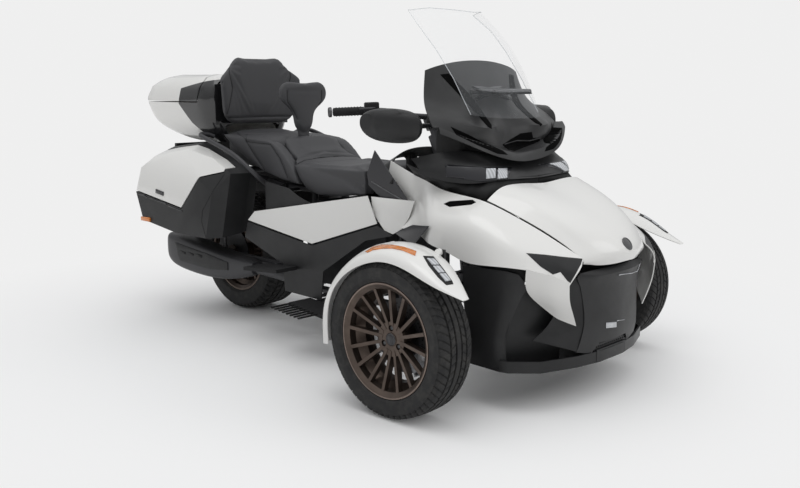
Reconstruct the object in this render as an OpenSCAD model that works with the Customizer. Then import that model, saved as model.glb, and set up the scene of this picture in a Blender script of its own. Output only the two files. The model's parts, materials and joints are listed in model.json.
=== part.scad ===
/* [Wheels] */
// Distance from the front axle back to the rear axle
wheelbase = 1714; // [1700:1:1730]
// Distance between the centre planes of the two front wheels
front_track = 1384; // [1376:1:1400]
// Outside radius of the front tyres
front_tyre_r = 281; // [276:1:284]
// Section width of the front tyres
front_tyre_w = 165; // [155:1:168]
// Outside radius of the rear tyre
rear_tyre_r = 303; // [296:1:306]
// Section width of the rear tyre
rear_tyre_w = 225; // [215:1:229]
// Radius of the seat where a tyre's bead sits on its rim
bead_r = 190.5; // [188:0.5:192]
// Radius of the front brake discs
front_disc_r = 135; // [125:1:138]
// Thickness of the brake discs
disc_t = 5; // [4:0.5:6]
// Radius of the stub axles that the wheels turn on
stub_r = 20; // [16:0.5:22]
/* [Bodywork] */
// Thickness of the moulded body panels
panel_t = 4; // [3:0.5:5]
// Gap between a lid or the bonnet and the bodywork around it
lid_gap = 6; // [5:0.5:8]
// Thickness of the windscreen sheet
screen_t = 5; // [4:0.5:6]
/* [Controls] */
// Radius of the handlebar tube
bar_r = 12.7; // [11:0.1:14]
// Radius of the grips
grip_r = 17; // [16:0.5:19]
// Length of each grip
grip_l = 125; // [110:1:135]
/* [Frame] */
// Radius of the round frame rails
rail_r = 17; // [14:0.5:20]
// Radius of the suspension arm tubes
arm_r = 12; // [10:0.5:14]
/* [Hidden] */
$fn = 48;

// Station of the front axle: the origin is on the ground at the middle of the overall length
front_axle_x = 906;
rear_axle_x = -wheelbase;
// Seams between fixed panels, and the seat between a fixed piece and what carries it
seam = 0.3;
// Radial clearance of a wheel on its stub axle
running_gap = 0.08;

white = "gainsboro";
black = "dimgray";
satin = "slategray";
steel = "silver";
bronze = "#5c4b42";
rubber = "#2b2b2b";

// Curves and skins

function spline_point(a, b, c, d, t) =
    0.5 * (2 * b + (c - a) * t + (2 * a - 5 * b + 4 * c - d) * t * t + (3 * b - a - 3 * c + d) * t * t * t);

// A smooth curve through the points p, with n steps between each two
function curve(p, n) = let (e = len(p) - 1) [
    for (i = [0 : e - 1], k = [0 : n - 1])
        spline_point(i > 0 ? p[i - 1] : 2 * p[0] - p[1], p[i], p[i + 1],
            i + 2 <= e ? p[i + 2] : 2 * p[e] - p[e - 1], k / n),
    p[e]];

// The same through a closed ring of points
function ring_curve(p, n) = let (c = len(p)) [
    for (i = [0 : c - 1], k = [0 : n - 1])
        spline_point(p[(i + c - 1) % c], p[i], p[(i + 1) % c], p[(i + 2) % c], k / n)];

function columns(g) = [for (j = [0 : len(g[0]) - 1]) [for (row = g) row[j]]];

// A smooth grid through rows of points: nu steps between rows and nv along each row
function patch(rows, nu, nv) =
    columns([for (c = columns([for (r = rows) curve(r, nv)])) curve(c, nu)]);

function unit(v) = v / max(norm(v), 0.000001);

function grid_normal(g, i, j) = let (a = len(g) - 1, b = len(g[0]) - 1)
    unit(cross(g[min(i + 1, a)][j] - g[max(i - 1, 0)][j], g[i][min(j + 1, b)] - g[i][max(j - 1, 0)]));

// A row given from the middle outwards on the right side, made into one right across the body
function across(half) = concat(
    [for (i = [len(half) - 1 : -1 : 0]) half[i]],
    [for (i = [1 : len(half) - 1]) [half[i][0], -half[i][1], half[i][2]]]);

// The grid g moved out along its normals by d
function moved_out(g, d) = [for (i = [0 : len(g) - 1]) [for (j = [0 : len(g[0]) - 1]) g[i][j] + d * grid_normal(g, i, j)]];

// A sheet of thickness t whose outer face is the grid g, and which grows against the grid's normal
module sheet(g, t) {
    a = len(g);
    b = len(g[0]);
    n = a * b;
    inner = [for (i = [0 : a - 1], j = [0 : b - 1]) g[i][j] - t * grid_normal(g, i, j)];
    outer = [for (row = g) each row];
    function at(i, j) = i * b + j;
    polyhedron(concat(outer, inner), concat(
        [for (i = [0 : a - 2], j = [0 : b - 2]) each [
            [at(i, j), at(i, j + 1), at(i + 1, j + 1)], [at(i, j), at(i + 1, j + 1), at(i + 1, j)],
            [n + at(i, j), n + at(i + 1, j + 1), n + at(i, j + 1)],
            [n + at(i, j), n + at(i + 1, j), n + at(i + 1, j + 1)]]],
        [for (i = [0 : a - 2]) each [
            [at(i, 0), at(i + 1, 0), n + at(i + 1, 0)], [at(i, 0), n + at(i + 1, 0), n + at(i, 0)],
            [at(i, b - 1), n + at(i + 1, b - 1), at(i + 1, b - 1)],
            [at(i, b - 1), n + at(i, b - 1), n + at(i + 1, b - 1)]]],
        [for (j = [0 : b - 2]) each [
            [at(0, j), n + at(0, j + 1), at(0, j + 1)], [at(0, j), n + at(0, j), n + at(0, j + 1)],
            [at(a - 1, j), at(a - 1, j + 1), n + at(a - 1, j + 1)],
            [at(a - 1, j), n + at(a - 1, j + 1), n + at(a - 1, j)]]]));
}

function centre_of(ring) = [for (k = [0 : 2]) let (v = [for (p = ring) p[k]]) (min(v) + max(v)) / 2];

function reversed(v) = [for (i = [len(v) - 1 : -1 : 0]) v[i]];

// A solid through closed rings of points, each with as many points as the last
module loft(given) {
    way = centre_of(given[len(given) - 1]) - centre_of(given[0]);
    turn = [for (k = [0 : 2]) [for (i = [0 : len(given[0]) - 1])
        cross(given[0][i] - centre_of(given[0]), given[0][(i + 1) % len(given[0])] - centre_of(given[0]))[k]]
        * [for (i = [0 : len(given[0]) - 1]) 1]];
    rings = turn * way < 0 ? given : reversed(given);
    a = len(rings);
    b = len(rings[0]);
    n = a * b;
    function at(i, j) = i * b + j % b;
    polyhedron(concat([for (r = rings) each r], [centre_of(rings[0]), centre_of(rings[a - 1])]), concat(
        [for (i = [0 : a - 2], j = [0 : b - 1]) each [
            [at(i, j), at(i, j + 1), at(i + 1, j + 1)], [at(i, j), at(i + 1, j + 1), at(i + 1, j)]]],
        [for (j = [0 : b - 1]) [n, at(0, j + 1), at(0, j)]],
        [for (j = [0 : b - 1]) [n + 1, at(a - 1, j), at(a - 1, j + 1)]]));
}

// A rounded box's section at station x: half width w, half height h, power e from 2, an ellipse, up to a square
function oval_x(x, cy, cz, w, h, e, n, lean = 0) = [
    for (k = [0 : n - 1]) let (a = 360 * k / n, c = cos(a), s = sin(a),
        z = h * sign(s) * pow(abs(s), 2 / e))
    [x + lean * z, cy + w * sign(c) * pow(abs(c), 2 / e), cz + z]];

// The same for a section that lies flat at height z
function oval_z(cx, cy, z, l, w, e, n, lean = 0) = [
    for (k = [0 : n - 1]) let (a = 360 * k / n, c = cos(a), s = sin(a))
    [cx + l * sign(c) * pow(abs(c), 2 / e), cy + w * sign(s) * pow(abs(s), 2 / e), z + lean * l * sign(c) * pow(abs(c), 2 / e)]];

// A round bar swept along the points of path, with s sides
module bar(path, r, s = 10) {
    e = len(path) - 1;
    rings = [for (i = [0 : e]) let (
            d = unit(path[min(i + 1, e)] - path[max(i - 1, 0)]),
            u = unit(cross(d, abs(d[2]) > 0.9 ? [1, 0, 0] : [0, 0, 1])), v = cross(d, u))
        [for (k = [0 : s - 1]) path[i] + r * (cos(360 * k / s) * u - sin(360 * k / s) * v)]];
    loft(rings);
}

// A straight tube or rod of radius r between two points
module rod(a, b, r) {
    d = b - a;
    translate(a) rotate([0, acos(d[2] / norm(d)), atan2(d[1], d[0])]) cylinder(r = r, h = norm(d));
}

// A rounded box's section across the vehicle at station y
function oval_y(cx, y, cz, l, h, e, n, lean = 0) = [
    for (k = [0 : n - 1]) let (a = 360 * k / n, c = cos(a), s = sin(a),
        z = h * sign(s) * pow(abs(s), 2 / e))
    [cx + l * sign(c) * pow(abs(c), 2 / e) + lean * z, y, cz + z]];

// The children, cut off 1 mm under the outer face of the sheet on the grid g
module under(g) difference() {
    union() children();
    sheet(moved_out(g, 50), 51);
}

// A flat panel on the right side, cut to an outline in the X-Z plane, its outer face at y
module side_plate(outline, y, t) {
    translate([0, y, 0]) rotate([90, 0, 0]) translate([0, 0, -t]) linear_extrude(t) polygon(outline);
}

module at_front_axle() translate([front_axle_x, 0, 0]) children();

// The same piece on both sides
module both_sides() {
    children();
    mirror([0, 1, 0]) children();
}

module on_side(side) mirror([0, side > 0 ? 1 : 0, 0]) children();

// Lays a solid of revolution round Z so that it turns round Y, its top outwards on the right side
module round_y() rotate([90, 0, 0]) children();

// Shared stations, measured from the front axle on the ground

half_track = front_track / 2;
kingpin_y = half_track - 60;
knuckle_top = 110;
knuckle_bottom = -100;
ball_r = 8;
seat_base = 690;
column_foot = [-470, 0, 1010];
column_lean = 25;
column_r = 16;
lower_pivot = [120, -236, 195];
upper_pivot = [90, -280, 420];
damper_foot = [0, -500, 186];
damper_head = [0, -252, 560];
rear_damper_foot = [-1290, 0, 300];
rear_damper_head = [-1109, 0, 600];
tie_joint = [-110, 92, -41];
tie_inner = [-110, 402, -31];
swing_pivot = [-1160, 0, 300];
rear_hub = [rear_axle_x, 0, rear_tyre_r];
rear_tube_r = 14;
rear_cross_r = 16.5;
axle_r = 12.5;
chin_z = 150;

// Bonnet rows from rear to front, each from the middle out to the right seam
bonnet_rows = [
    [[122, 0, 782], [118, -120, 790], [112, -235, 790], [106, -290, 768], [100, -325, 742]],
    [[235, 0, 742], [232, -110, 748], [226, -225, 745], [222, -262, 722], [215, -298, 694]],
    [[340, 0, 698], [336, -100, 702], [330, -200, 695], [322, -235, 672], [312, -270, 646]],
    [[425, 0, 648], [420, -90, 650], [410, -175, 640], [398, -208, 618], [385, -240, 598]],
    [[482, 0, 600], [475, -80, 600], [458, -150, 590], [446, -190, 573], [432, -222, 560]],
    [[507, 0, 560], [500, -75, 558], [478, -140, 552], [462, -178, 545], [444, -212, 540]],
    [[492, 0, 525], [484, -72, 522], [462, -135, 522], [450, -172, 528], [438, -205, 532]]];
bonnet_hinge = [116, 0, 776];

// Side fairing rows from the nose to the knees, each from its top edge down, right side
fairing_rows = [
    [[446, -220, 556], [458, -248, 530], [455, -280, 500], [444, -300, 468]],
    [[388, -247, 594], [402, -288, 570], [412, -322, 545], [414, -345, 503]],
    [[312, -278, 642], [324, -328, 612], [334, -375, 575], [335, -402, 526]],
    [[215, -306, 690], [222, -364, 660], [228, -418, 615], [230, -442, 530]],
    [[98, -333, 738], [104, -397, 705], [108, -442, 650], [110, -454, 528]],
    [[0, -338, 752], [3, -406, 710], [8, -446, 660], [20, -456, 558]],
    [[-110, -335, 765], [-105, -400, 718], [-95, -438, 655], [-80, -446, 575]],
    [[-210, -310, 790], [-205, -345, 728], [-200, -362, 670], [-195, -370, 590]],
    [[-330, -262, 805], [-325, -266, 742], [-322, -268, 680], [-345, -322, 596]],
    [[-474, -236, 850], [-474, -258, 760], [-474, -266, 685], [-470, -318, 606]]];
tusk_rows = [
    [[335, -402, 532], [375, -374, 518], [412, -347, 509], [444, -300, 476]],
    [[324, -387, 452], [365, -364, 445], [405, -337, 430], [442, -292, 415]],
    [[350, -335, 395], [382, -315, 385], [412, -292, 372], [440, -262, 362]],
    [[385, -285, 345], [402, -270, 335], [418, -252, 325], [434, -232, 315]]];

// Headlamp cowl rows from the brow down, each from the middle out
cowl_rows = [
    [[-70, 0, 876], [-62, -120, 890], [-60, -235, 908], [-85, -310, 912], [-150, -365, 898], [-215, -395, 880]],
    [[20, 0, 836], [34, -120, 845], [46, -235, 853], [-5, -310, 850], [-90, -362, 845], [-175, -398, 850]],
    [[100, 0, 803], [95, -120, 806], [80, -235, 806], [20, -312, 795], [-70, -358, 800], [-160, -392, 822]]];

// Cockpit mask rows from the top down
mask_rows = [
    [[-212, 0, 1254], [-214, -100, 1250], [-220, -190, 1238], [-228, -250, 1225], [-238, -290, 1212]],
    [[-135, 0, 1090], [-130, -100, 1092], [-135, -190, 1085], [-165, -270, 1090], [-210, -330, 1100]],
    [[-60, 0, 990], [-30, -100, 1000], [-10, -200, 994], [-70, -300, 1020], [-140, -380, 1040]],
    [[-38, 0, 912], [-24, -110, 922], [-22, -210, 943], [-54, -310, 968], [-104, -395, 1002]],
    [[18, 0, 896], [26, -110, 906], [22, -212, 930], [-16, -314, 964], [-70, -402, 1004]],
    [[40, 0, 862], [46, -118, 874], [34, -228, 902], [-8, -326, 944], [-58, -408, 980]]];

// Windscreen rows from the top down
screen_rows = [
    [[-240, 0, 1444], [-268, -85, 1450], [-335, -160, 1459], [-408, -205, 1450]],
    [[-140, 0, 1355], [-168, -90, 1360], [-240, -170, 1370], [-325, -228, 1380]],
    [[-75, 0, 1285], [-100, -88, 1288], [-165, -165, 1292], [-245, -225, 1296]],
    [[-4, 0, 1174], [-28, -85, 1174], [-82, -160, 1176], [-155, -220, 1180]],
    [[42, 0, 1030], [28, -90, 1030], [-15, -165, 1035], [-68, -220, 1045]]];

// Mudguard rows round the wheel from the back, right side: the angle up from level behind the hub, then
// the radius at the outer lip, the outer shoulder, the crest and the inner edge, and where they lie across
guard_spans = [-783, -770, -705, -640, -612];
guard_rows = [
    [-12, 272, 318, 350, 352, 348, guard_spans],
    [10, 275, 316, 354, 356, 350, guard_spans],
    [30, 282, 312, 341, 342, 338, guard_spans],
    [50, 278, 308, 332, 333, 330, guard_spans],
    [70, 276, 312, 336, 334, 330, guard_spans],
    [90, 284, 318, 341, 336, 328, guard_spans],
    [108, 292, 322, 347, 336, 325, guard_spans],
    [124, 306, 332, 352, 340, 328, [-783, -770, -706, -648, -624]],
    [138, 336, 350, 362, 356, 350, [-775, -764, -715, -680, -665]],
    [150, 392, 396, 400, 398, 394, [-750, -746, -736, -726, -720]]];
guard_skin = 3.5;
stay_top = 306;

function guard_point(angle, r, y) = [-r * cos(angle), y, front_tyre_r + r * sin(angle)];

// Grids

bonnet_grid = patch([for (r = bonnet_rows) across(r)], 2, 2);
fairing_grid = patch(fairing_rows, 2, 3);
tusk_grid = patch([for (r = tusk_rows) reversed(r)], 2, 2);
cowl_grid = patch([for (r = cowl_rows) across(r)], 3, 2);
mask_grid = patch([for (r = mask_rows) across(r)], 2, 2);
screen_grid = patch([for (r = screen_rows) across(r)], 2, 2);
guard_grid = patch([for (r = guard_rows) [for (k = [0 : 4])
    guard_point(r[0], r[k + 1], r[6][k] + 692 - half_track)]], 2, 2);

// Chassis

module frame() color(black) at_front_axle() {
    both_sides() {
        rod([318, -150, 215], [-1150, -150, 215], rail_r);
        rod([300, -150, 215], [300, -150, 430 - seam], arm_r);
        rod([110, -150, 158 + seam], [110, -150, 215], arm_r);
        rod([120, -150, 215], [112, -200, 575], rail_r - 2);
        rod([-120, -150, 215], [-125, -200, 575], rail_r - 2);
        rod([140, -200, 575], [-150, -200, 575], rail_r);
        rod([-495, -150, 215], [-495, -150, 760], arm_r);
        rod([-495, -150, 745], [-495, -287 + seam, 745], 9);
        rod([-495, -150, 556], [-495, -326 + seam, 556], 9);
        rod([-495, -150, 640], [-450, -150, 640], 10);
        rod([-1130, -92, 215], [-1105, -92, 668], rail_r - 3);
        rod([-1094, -99, 672], [-1290, -105, 674], rear_tube_r);
        rod([-1290, -105, 674], [-1650, -120, 730], rear_tube_r);
        rod([-1650, -120, 730], [-2040, -120, 760], rear_tube_r);
        for (x = [lower_pivot[0], -lower_pivot[0]])
            translate([x - 14, lower_pivot[1] + 16 + seam, 176]) cube([28, 75, 44]);
        for (x = [upper_pivot[0], -upper_pivot[0]])
            translate([x - (x > 0 ? 14 : 30), upper_pivot[1] + 14 + seam, 402]) cube([44, 100, 34]);
        for (x = [22, -30])
            translate([x, -266, 545]) cube([8, 66, 32]);
        translate([-32, damper_head[1], damper_head[2]]) rotate([0, 90, 0]) cylinder(r = 8, h = 64);
        for (q = [[-700, 199], [-850, 207]])
            rod([q[0], -150, q[1]], [q[0], -336 + seam, q[1]], 11);
        rod([-1122, -95, 336], [-1122, -336 + seam, 336], 10);
        rod([-1650, -120, 730], [-1650, -235, 730], 10);
        rod([-1650, -225, 730], [-1650, -225, 360 + seam], 8);
        for (x = [-830, -1000])
            rod([x, -150, 238], [x, -326 + seam, 238], 8);
        for (z = [440, 560])
            rod([-1117, -95, z], [-1117, -326 + seam, z], 9);
        rod([-575, 0, 656], [-575, -326 + seam, 656], 8);
        rod([-1200, -103, 667], [-1200, -296 + seam, 667], 8);
        for (x = [-1440, -1800])
            rod([x, -112, x > -1500 ? 706 : 742], [x, -180 + seam, x > -1500 ? 706 : 742], 10);
        for (x = [-640, -900])
            translate([x - 20, -165, 225]) cube([40, 30, 37 - seam]);
    }
    for (x = [300, 120, -120, -495, -1130])
        rod([x, -150, 215], [x, 150, 215], rail_r - 3);
    for (x = [112, -125])
        rod([x, -200, 575], [x, 200, 575], rail_r - 3);
    translate([120, -60, 560]) cube([30 - seam, 120, 30]);
    rod([-1105, -115, 672], [-1105, 115, 672], rail_r - 1);
    rod([rear_damper_head[0], -95, rear_damper_head[2]], [rear_damper_head[0], 95, rear_damper_head[2]], arm_r);
    rod([-1290, -134, 674], [-1290, 134, 674], rear_cross_r);
    rod([-1650, -138, 730], [-1650, 138, 730], rear_cross_r);
    rod([-2040, -138, 760], [-2040, 138, 760], rear_cross_r);
    translate([swing_pivot[0], -112, swing_pivot[2]]) rotate([-90, 0, 0]) cylinder(r = 22, h = 224);
    rod([-600, 0, seat_base - seam - rail_r], [-1112, 0, seat_base - seam - rail_r], rail_r);
    rod([-590, 0, 672], [-590, 0, 780 - seam], 10);
    difference() {
        union() {
            on_column(70) cylinder(r = 30, h = 160);
            both_sides() rod([-372, -15, 801], [-130, -200, 575], rail_r - 2);
            rod([-385, 0, 790], [-590, 0, seat_base - seam - rail_r], rail_r - 3);
            rod([-400, 0, 860], [-240, 0, 860], 10);
            rod([-240, -98, 860], [-240, 98, 860], 14);
        }
        on_column(60) cylinder(r = column_r + running_gap, h = 190);
    }
    both_sides() {
        rod([-240, -80, 840], [-240, -80, 1085], arm_r);
        rod([-240, -80, 850], [-90, -80, 850], 10);
        translate([-262, -92, 1050]) cube([34, 24, 30]);
        rod([-240, -80, 1000], [-240, -385 + seam, 1000], 10);
    }
}

// Puts the children's Z axis on the steering column, pointing down, with its zero at distance a below the foot
module on_column(a) translate(column_foot) rotate([0, 180 - column_lean, 0]) translate([0, 0, a]) children();

module engine_block() color(steel) at_front_axle() {
    translate([-980, -200, 262]) cube([440, 400, 378]);
    translate([-1060, 60, 262]) cube([80, 58 - seam, 80]);
}

// Nose rows from the bonnet's edge down to the splitter, each from the middle out, right side
nose_rows = [
    [[456, 0, 505], [449, -110, 505], [432, -208, 500]],
    [[472, 0, 482], [461, -125, 482], [430, -228, 484]],
    [[464, 0, 450], [453, -118, 450], [430, -206, 450]],
    [[460, 0, 380], [450, -104, 380], [434, -188, 380]],
    [[461, 0, 315], [452, -100, 315], [438, -184, 315]],
    [[460, 0, 250], [450, -108, 250], [432, -196, 250]],
    [[446, 0, 186], [437, -112, 188], [420, -202, 206]]];
// The nose's side facets, from its edge back into the intake
facet_rows = [
    [[428, -206, 496], [412, -236, 490], [396, -258, 484]],
    [[426, -196, 440], [404, -238, 430], [384, -272, 420]],
    [[430, -178, 360], [398, -228, 350], [364, -276, 340]],
    [[434, -176, 315], [384, -246, 300], [338, -304, 288]],
    [[428, -186, 260], [376, -262, 262], [322, -326, 264]],
    [[418, -196, 208], [370, -264, 234], [318, -330, 258]]];
// The flanks, from the wheel's side forward to the intake's edge, each from the bottom up
flank_rows = [
    [[98, -424, 152], [96, -429, 250], [94, -433, 336], [90, -438, 430], [88, -444, 516]],
    [[180, -431, 152], [178, -433, 250], [180, -435, 336], [190, -436, 430], [200, -432, 516]],
    [[250, -422, 152], [238, -414, 250], [256, -412, 336], [284, -408, 430], [304, -402, 506]],
    [[262, -404, 152], [246, -398, 250], [268, -394, 336], [300, -384, 420], [318, -376, 448]]];
recess_rows = [
    [[338, -190, 152], [286, -300, 152], [222, -408, 152]],
    [[350, -196, 300], [292, -306, 300], [226, -412, 300]],
    [[360, -204, 428], [300, -312, 452], [240, -410, 470]]];
grille_z = [190, 226];

module front_bumper() color(black) at_front_axle() {
    fascia = patch([for (r = nose_rows) across(r)], 2, 2);
    difference() {
        sheet(fascia, panel_t);
        translate([380, 0, 0]) rotate([90, 0, 90]) linear_extrude(100) polygon([[-128, grille_z[0]], [-92, grille_z[1]],
            [92, grille_z[1]], [128, grille_z[0]]]);
    }
    // Mesh in the lower intake
    translate([428, 0, 0]) rotate([90, 0, 90]) linear_extrude(8) difference() {
        translate([-132, grille_z[0] - 6]) square([264, grille_z[1] - grille_z[0] + 12]);
        for (r = [0 : 2], k = [-8 : 8])
            translate([(k + (r % 2) / 2) * 14, grille_z[0] + 5 + 12 * r]) rotate(45) square(7.5, center = true);
    }
    // Splitter tray under the nose
    translate([0, 0, chin_z]) linear_extrude(8) polygon([
        [60, -300], [60, 300], [99, 424], [250, 436], [285, 428], [369, 350], [424, 200], [446, 80],
        [446, -80], [424, -200], [369, -350], [285, -428], [250, -436], [99, -424]]);
    difference() {
        translate([0, 0, chin_z]) linear_extrude(42) polygon([
            [250, 436], [285, 428], [369, 350], [424, 200], [446, 80],
            [446, -80], [424, -200], [369, -350], [285, -428], [250, -436]]);
        translate([0, 0, chin_z - 2]) linear_extrude(60) polygon([
            [200, 426], [282, 418], [364, 343], [417, 196], [439, 78],
            [439, -78], [417, -196], [364, -343], [282, -418], [200, -426]]);
    }
    translate([414, -100, chin_z + 2]) cube([30, 200, 46]);
    both_sides() {
        sheet(patch(facet_rows, 2, 2), panel_t);
        sheet(patch(reversed(flank_rows), 2, 2), panel_t);
        sheet(patch(recess_rows, 1, 1), panel_t);
    }
}

module bonnet() color(white) at_front_axle() {
    difference() {
        union() {
            sheet(bonnet_grid, panel_t);
            under(bonnet_grid) both_sides() for (y = [-150, -190])
                translate([bonnet_hinge[0] + 6, y, bonnet_hinge[2] - 16]) cylinder(r = 8, h = 28);
        }
        both_sides() translate([bonnet_hinge[0], -205, bonnet_hinge[2] - 10]) rotate([-90, 0, 0])
            cylinder(r = 4 + running_gap, h = 70);
    }
    // Plain round badge disc on the nose
    translate([488, 0, 582]) rotate([0, 57, 0]) cylinder(r = 26, h = 7);
}

module trunk_bin() color(black) at_front_axle() {
    inside = [[153, 433], [392, 433], [392, 640], [153, 745]];
    difference() {
        rotate([90, 0, 0]) translate([0, 0, -195]) linear_extrude(390)
            polygon([[150, 430], [395, 430], [395, 606], [150, 722]]);
        rotate([90, 0, 0]) translate([0, 0, -192]) linear_extrude(384) polygon(inside);
    }
    both_sides() {
        translate([bonnet_hinge[0], -182, bonnet_hinge[2] - 10]) rotate([-90, 0, 0]) cylinder(r = 4, h = 24);
        translate([106, -178, 700]) cube([47, 16, 20]);
        translate([108, -178, 700]) cube([16, 16, 68]);
    }
}

module side_fairings() color(white) at_front_axle() both_sides() {
    sheet(fairing_grid, panel_t);
    sheet(tusk_grid, panel_t);
    under(fairing_grid) {
        rod([112, -217 - seam, 575], [112, -480, 575], 10);
        rod([-125, -217 - seam, 600], [-125, -470, 600], 10);
        rod([-455, -162 - seam, 640], [-455, -312, 640], 8);
    }
}

module headlamp_cowl() color(satin) at_front_axle() {
    difference() {
        sheet(cowl_grid, panel_t);
        both_sides() lens_blocks(0);
    }
    under(cowl_grid) both_sides() rod([-90 + seam, -80, 850], [30, -80, 850], 9);
}

module lens_blocks(gap) {
    for (y = [-256, -200])
        translate([-60, y - 24 + gap, 808 + gap]) cube([200, 48 - 2 * gap, 38 - 2 * gap]);
}

module headlamp_lenses() color(steel) at_front_axle() both_sides() intersection() {
    sheet(cowl_grid, 12);
    lens_blocks(seam);
}

module screen_cowl() color(satin) at_front_axle() {
    sheet(mask_grid, panel_t);
    under(mask_grid) both_sides() rod([-228 + seam, -80, 1065], [-80, -80, 1065], 9);
    difference() {
        both_sides() rod([-150, -120, 1130], [0, -120, 1130], 9);
        sheet(moved_out(screen_grid, 60), 60 + screen_t + seam);
        both_sides() translate([-200, -140, 1100]) cube([47, 40, 60]);
    }
}

module windscreen() color("lightblue", 0.4) at_front_axle() sheet(screen_grid, screen_t);

module instrument_panel() color(black) at_front_axle() {
    hull() for (y = [-150, 150], q = [[-340, 1015], [-290, 1130]])
        translate([q[0], y, q[1]]) sphere(14, $fn = 12);
    both_sides() rod([-262 - seam, -80, 1065], [-315, -80, 1065], 8);
}

module mirrors() color(satin) at_front_axle() both_sides() {
    loft([oval_y(-212, -392, 1000, 52, 38, 2.4, 20),
        oval_y(-222, -412, 1000, 84, 56, 2.5, 20),
        oval_y(-232, -440, 1003, 104, 66, 2.6, 20),
        oval_y(-262, -482, 1008, 98, 66, 2.6, 20),
        oval_y(-292, -512, 1013, 74, 54, 2.5, 20),
        oval_y(-312, -528, 1017, 44, 34, 2.4, 20)]);
    rod([-240, -385, 1000], [-240, -405, 1000], 10);
}

module knee_panels() color(black) at_front_axle() both_sides()
    side_plate([[-514, 893], [-311, 686], [-406, 654], [-548, 745], [-559, 792]], -292, 5);

module centre_console() color(satin) at_front_axle() {
    console_grid = patch(reversed([for (r = [
        [[-505, 0, 895], [-505, -100, 888], [-505, -180, 858], [-505, -212, 800]],
        [[-560, 0, 866], [-560, -95, 860], [-560, -175, 830], [-560, -208, 770]],
        [[-600, 0, 850], [-600, -90, 844], [-600, -165, 812], [-600, -200, 750]]]) across(r)]), 2, 2);
    sheet(console_grid, panel_t);
    under(console_grid) rod([-575, 0, 780], [-575, 0, 890], 25);
}

module lower_side_panels() color(black) at_front_axle() both_sides()
    side_plate([[-377, 557], [-464, 590], [-867, 460], [-1322, 521], [-1348, 444], [-1068, 351],
        [-1058, 228], [-810, 222], [-794, 354], [-531, 520]], -330, 4);

module rear_side_panels() color(black) at_front_axle() both_sides()
    side_plate([[-1222, 584], [-905, 641], [-985, 664], [-1056, 697], [-1222, 715]], -300, 4);

module seat_side_panels() color(white) at_front_axle() both_sides()
    side_plate([[-1322, 529], [-1269, 575], [-518, 708], [-464, 598], [-867, 468]], -330, 4);

// Inner and outer face of the saddles' side skirts, and the skirts' outlines in the X-Z plane
skirt_y = [-172, -238];
driver_skirt = [[-622, 800], [-622, 692], [-980, 642], [-1078, 758], [-1096, 800]];
passenger_skirt = [[-1640, 922], [-1600, 880], [-1307, 730], [-1060, 702], [-1084, 764], [-1165, 850],
    [-1240, 900], [-1300, 908]];

module skirt(outline, grow = 0) translate([0, skirt_y[0] + grow, 0]) rotate([90, 0, 0])
    linear_extrude(skirt_y[0] - skirt_y[1] + grow * 4) offset(delta = grow) polygon(outline);

module driver_seat() color(black) at_front_axle() difference() {
    union() {
        loft([
            seat_ring(-614, 150, seat_base + 20, 808), seat_ring(-640, 190, seat_base, 824),
            seat_ring(-709, 214, seat_base, 822), seat_ring(-850, 226, seat_base, 790),
            seat_ring(-980, 230, seat_base, 795), seat_ring(-1100, 228, seat_base, 815),
            seat_ring(-1180, 216, seat_base, 860), seat_ring(-1240, 188, seat_base, 935),
            seat_ring(-1280, 140, seat_base + 20, 925)]);
        both_sides() skirt(driver_skirt);
    }
    both_sides() skirt(passenger_skirt, seam * 2);
}

// A seat's section at station x, between its base and its top
function seat_ring(x, w, low, high) = oval_x(x, 0, (low + high) / 2, w, (high - low) / 2, 4, 20);

module passenger_seat() color(black) at_front_axle() {
    loft([seat_ring(-1304, 150, 745, 900), seat_ring(-1340, 195, 745, 915),
        seat_ring(-1450, 214, 745, 922), seat_ring(-1560, 216, 755, 930),
        seat_ring(-1640, 200, 775, 948), seat_ring(-1662, 170, 790, 930)]);
    both_sides() {
        skirt(passenger_skirt);
        rod([-1650, -100, 730 + rear_cross_r + seam], [-1650, -100, 800], 12);
    }
}

module driver_backrest() color(black) at_front_axle() {
    loft([for (r = [[945, 50, 14], [960, 60, 18], [1010, 64, 22], [1042, 84, 22], [1068, 132, 22], [1098, 158, 22],
        [1140, 156, 22], [1165, 134, 20], [1178, 104, 12]]) oval_z(-1293, 0, r[0], r[2], r[1], 4, 20)]);
    translate([-1297, -45, 692 + seam]) cube([8, 90, 320]);
}

// A backrest's section at height z, its side wings drawn forward by bend
function winged(x, z, w, l, bend) = [for (p = oval_z(x, 0, z, l, w, 4.5, 28))
    [p[0] + bend * pow(p[1] / w, 2), p[1], p[2]]];

module passenger_backrest() color(black) at_front_axle() {
    loft([for (r = [[958, 150, 16, 16], [972, 196, 26, 26], [1012, 240, 28, 44], [1098, 248, 28, 50],
        [1170, 260, 28, 56], [1196, 256, 28, 54], [1224, 206, 28, 36], [1250, 178, 27, 28], [1290, 150, 22, 20],
        [1302, 124, 12, 14]]) winged(-1662, r[0], r[1], r[2], r[3])]);
    both_sides() rod([-1670, -100, 1100], [-1694 + seam + 3.7, -100, 1100], 14);
}

module grab_handles() color(black) at_front_axle() both_sides()
    bar(curve([[-1290, -136 - seam, 674], [-1290, -165, 672], [-1286, -240, 694], [-1300, -315, 760],
        [-1400, -350, 838], [-1560, -360, 892], [-1650, -352, 917], [-1668, -300, 917],
        [-1668, -262, 905]], 3), 12, 10);

module footboards() color(black) at_front_axle() both_sides() {
    side_plate([[-880, 212], [-640, 186], [-610, 230], [-622, 240], [-652, 204], [-876, 226]], -460, 124);
    side_plate([[-1200, 322], [-960, 340], [-965, 356], [-1200, 338]], -455, 119);
}

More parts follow.
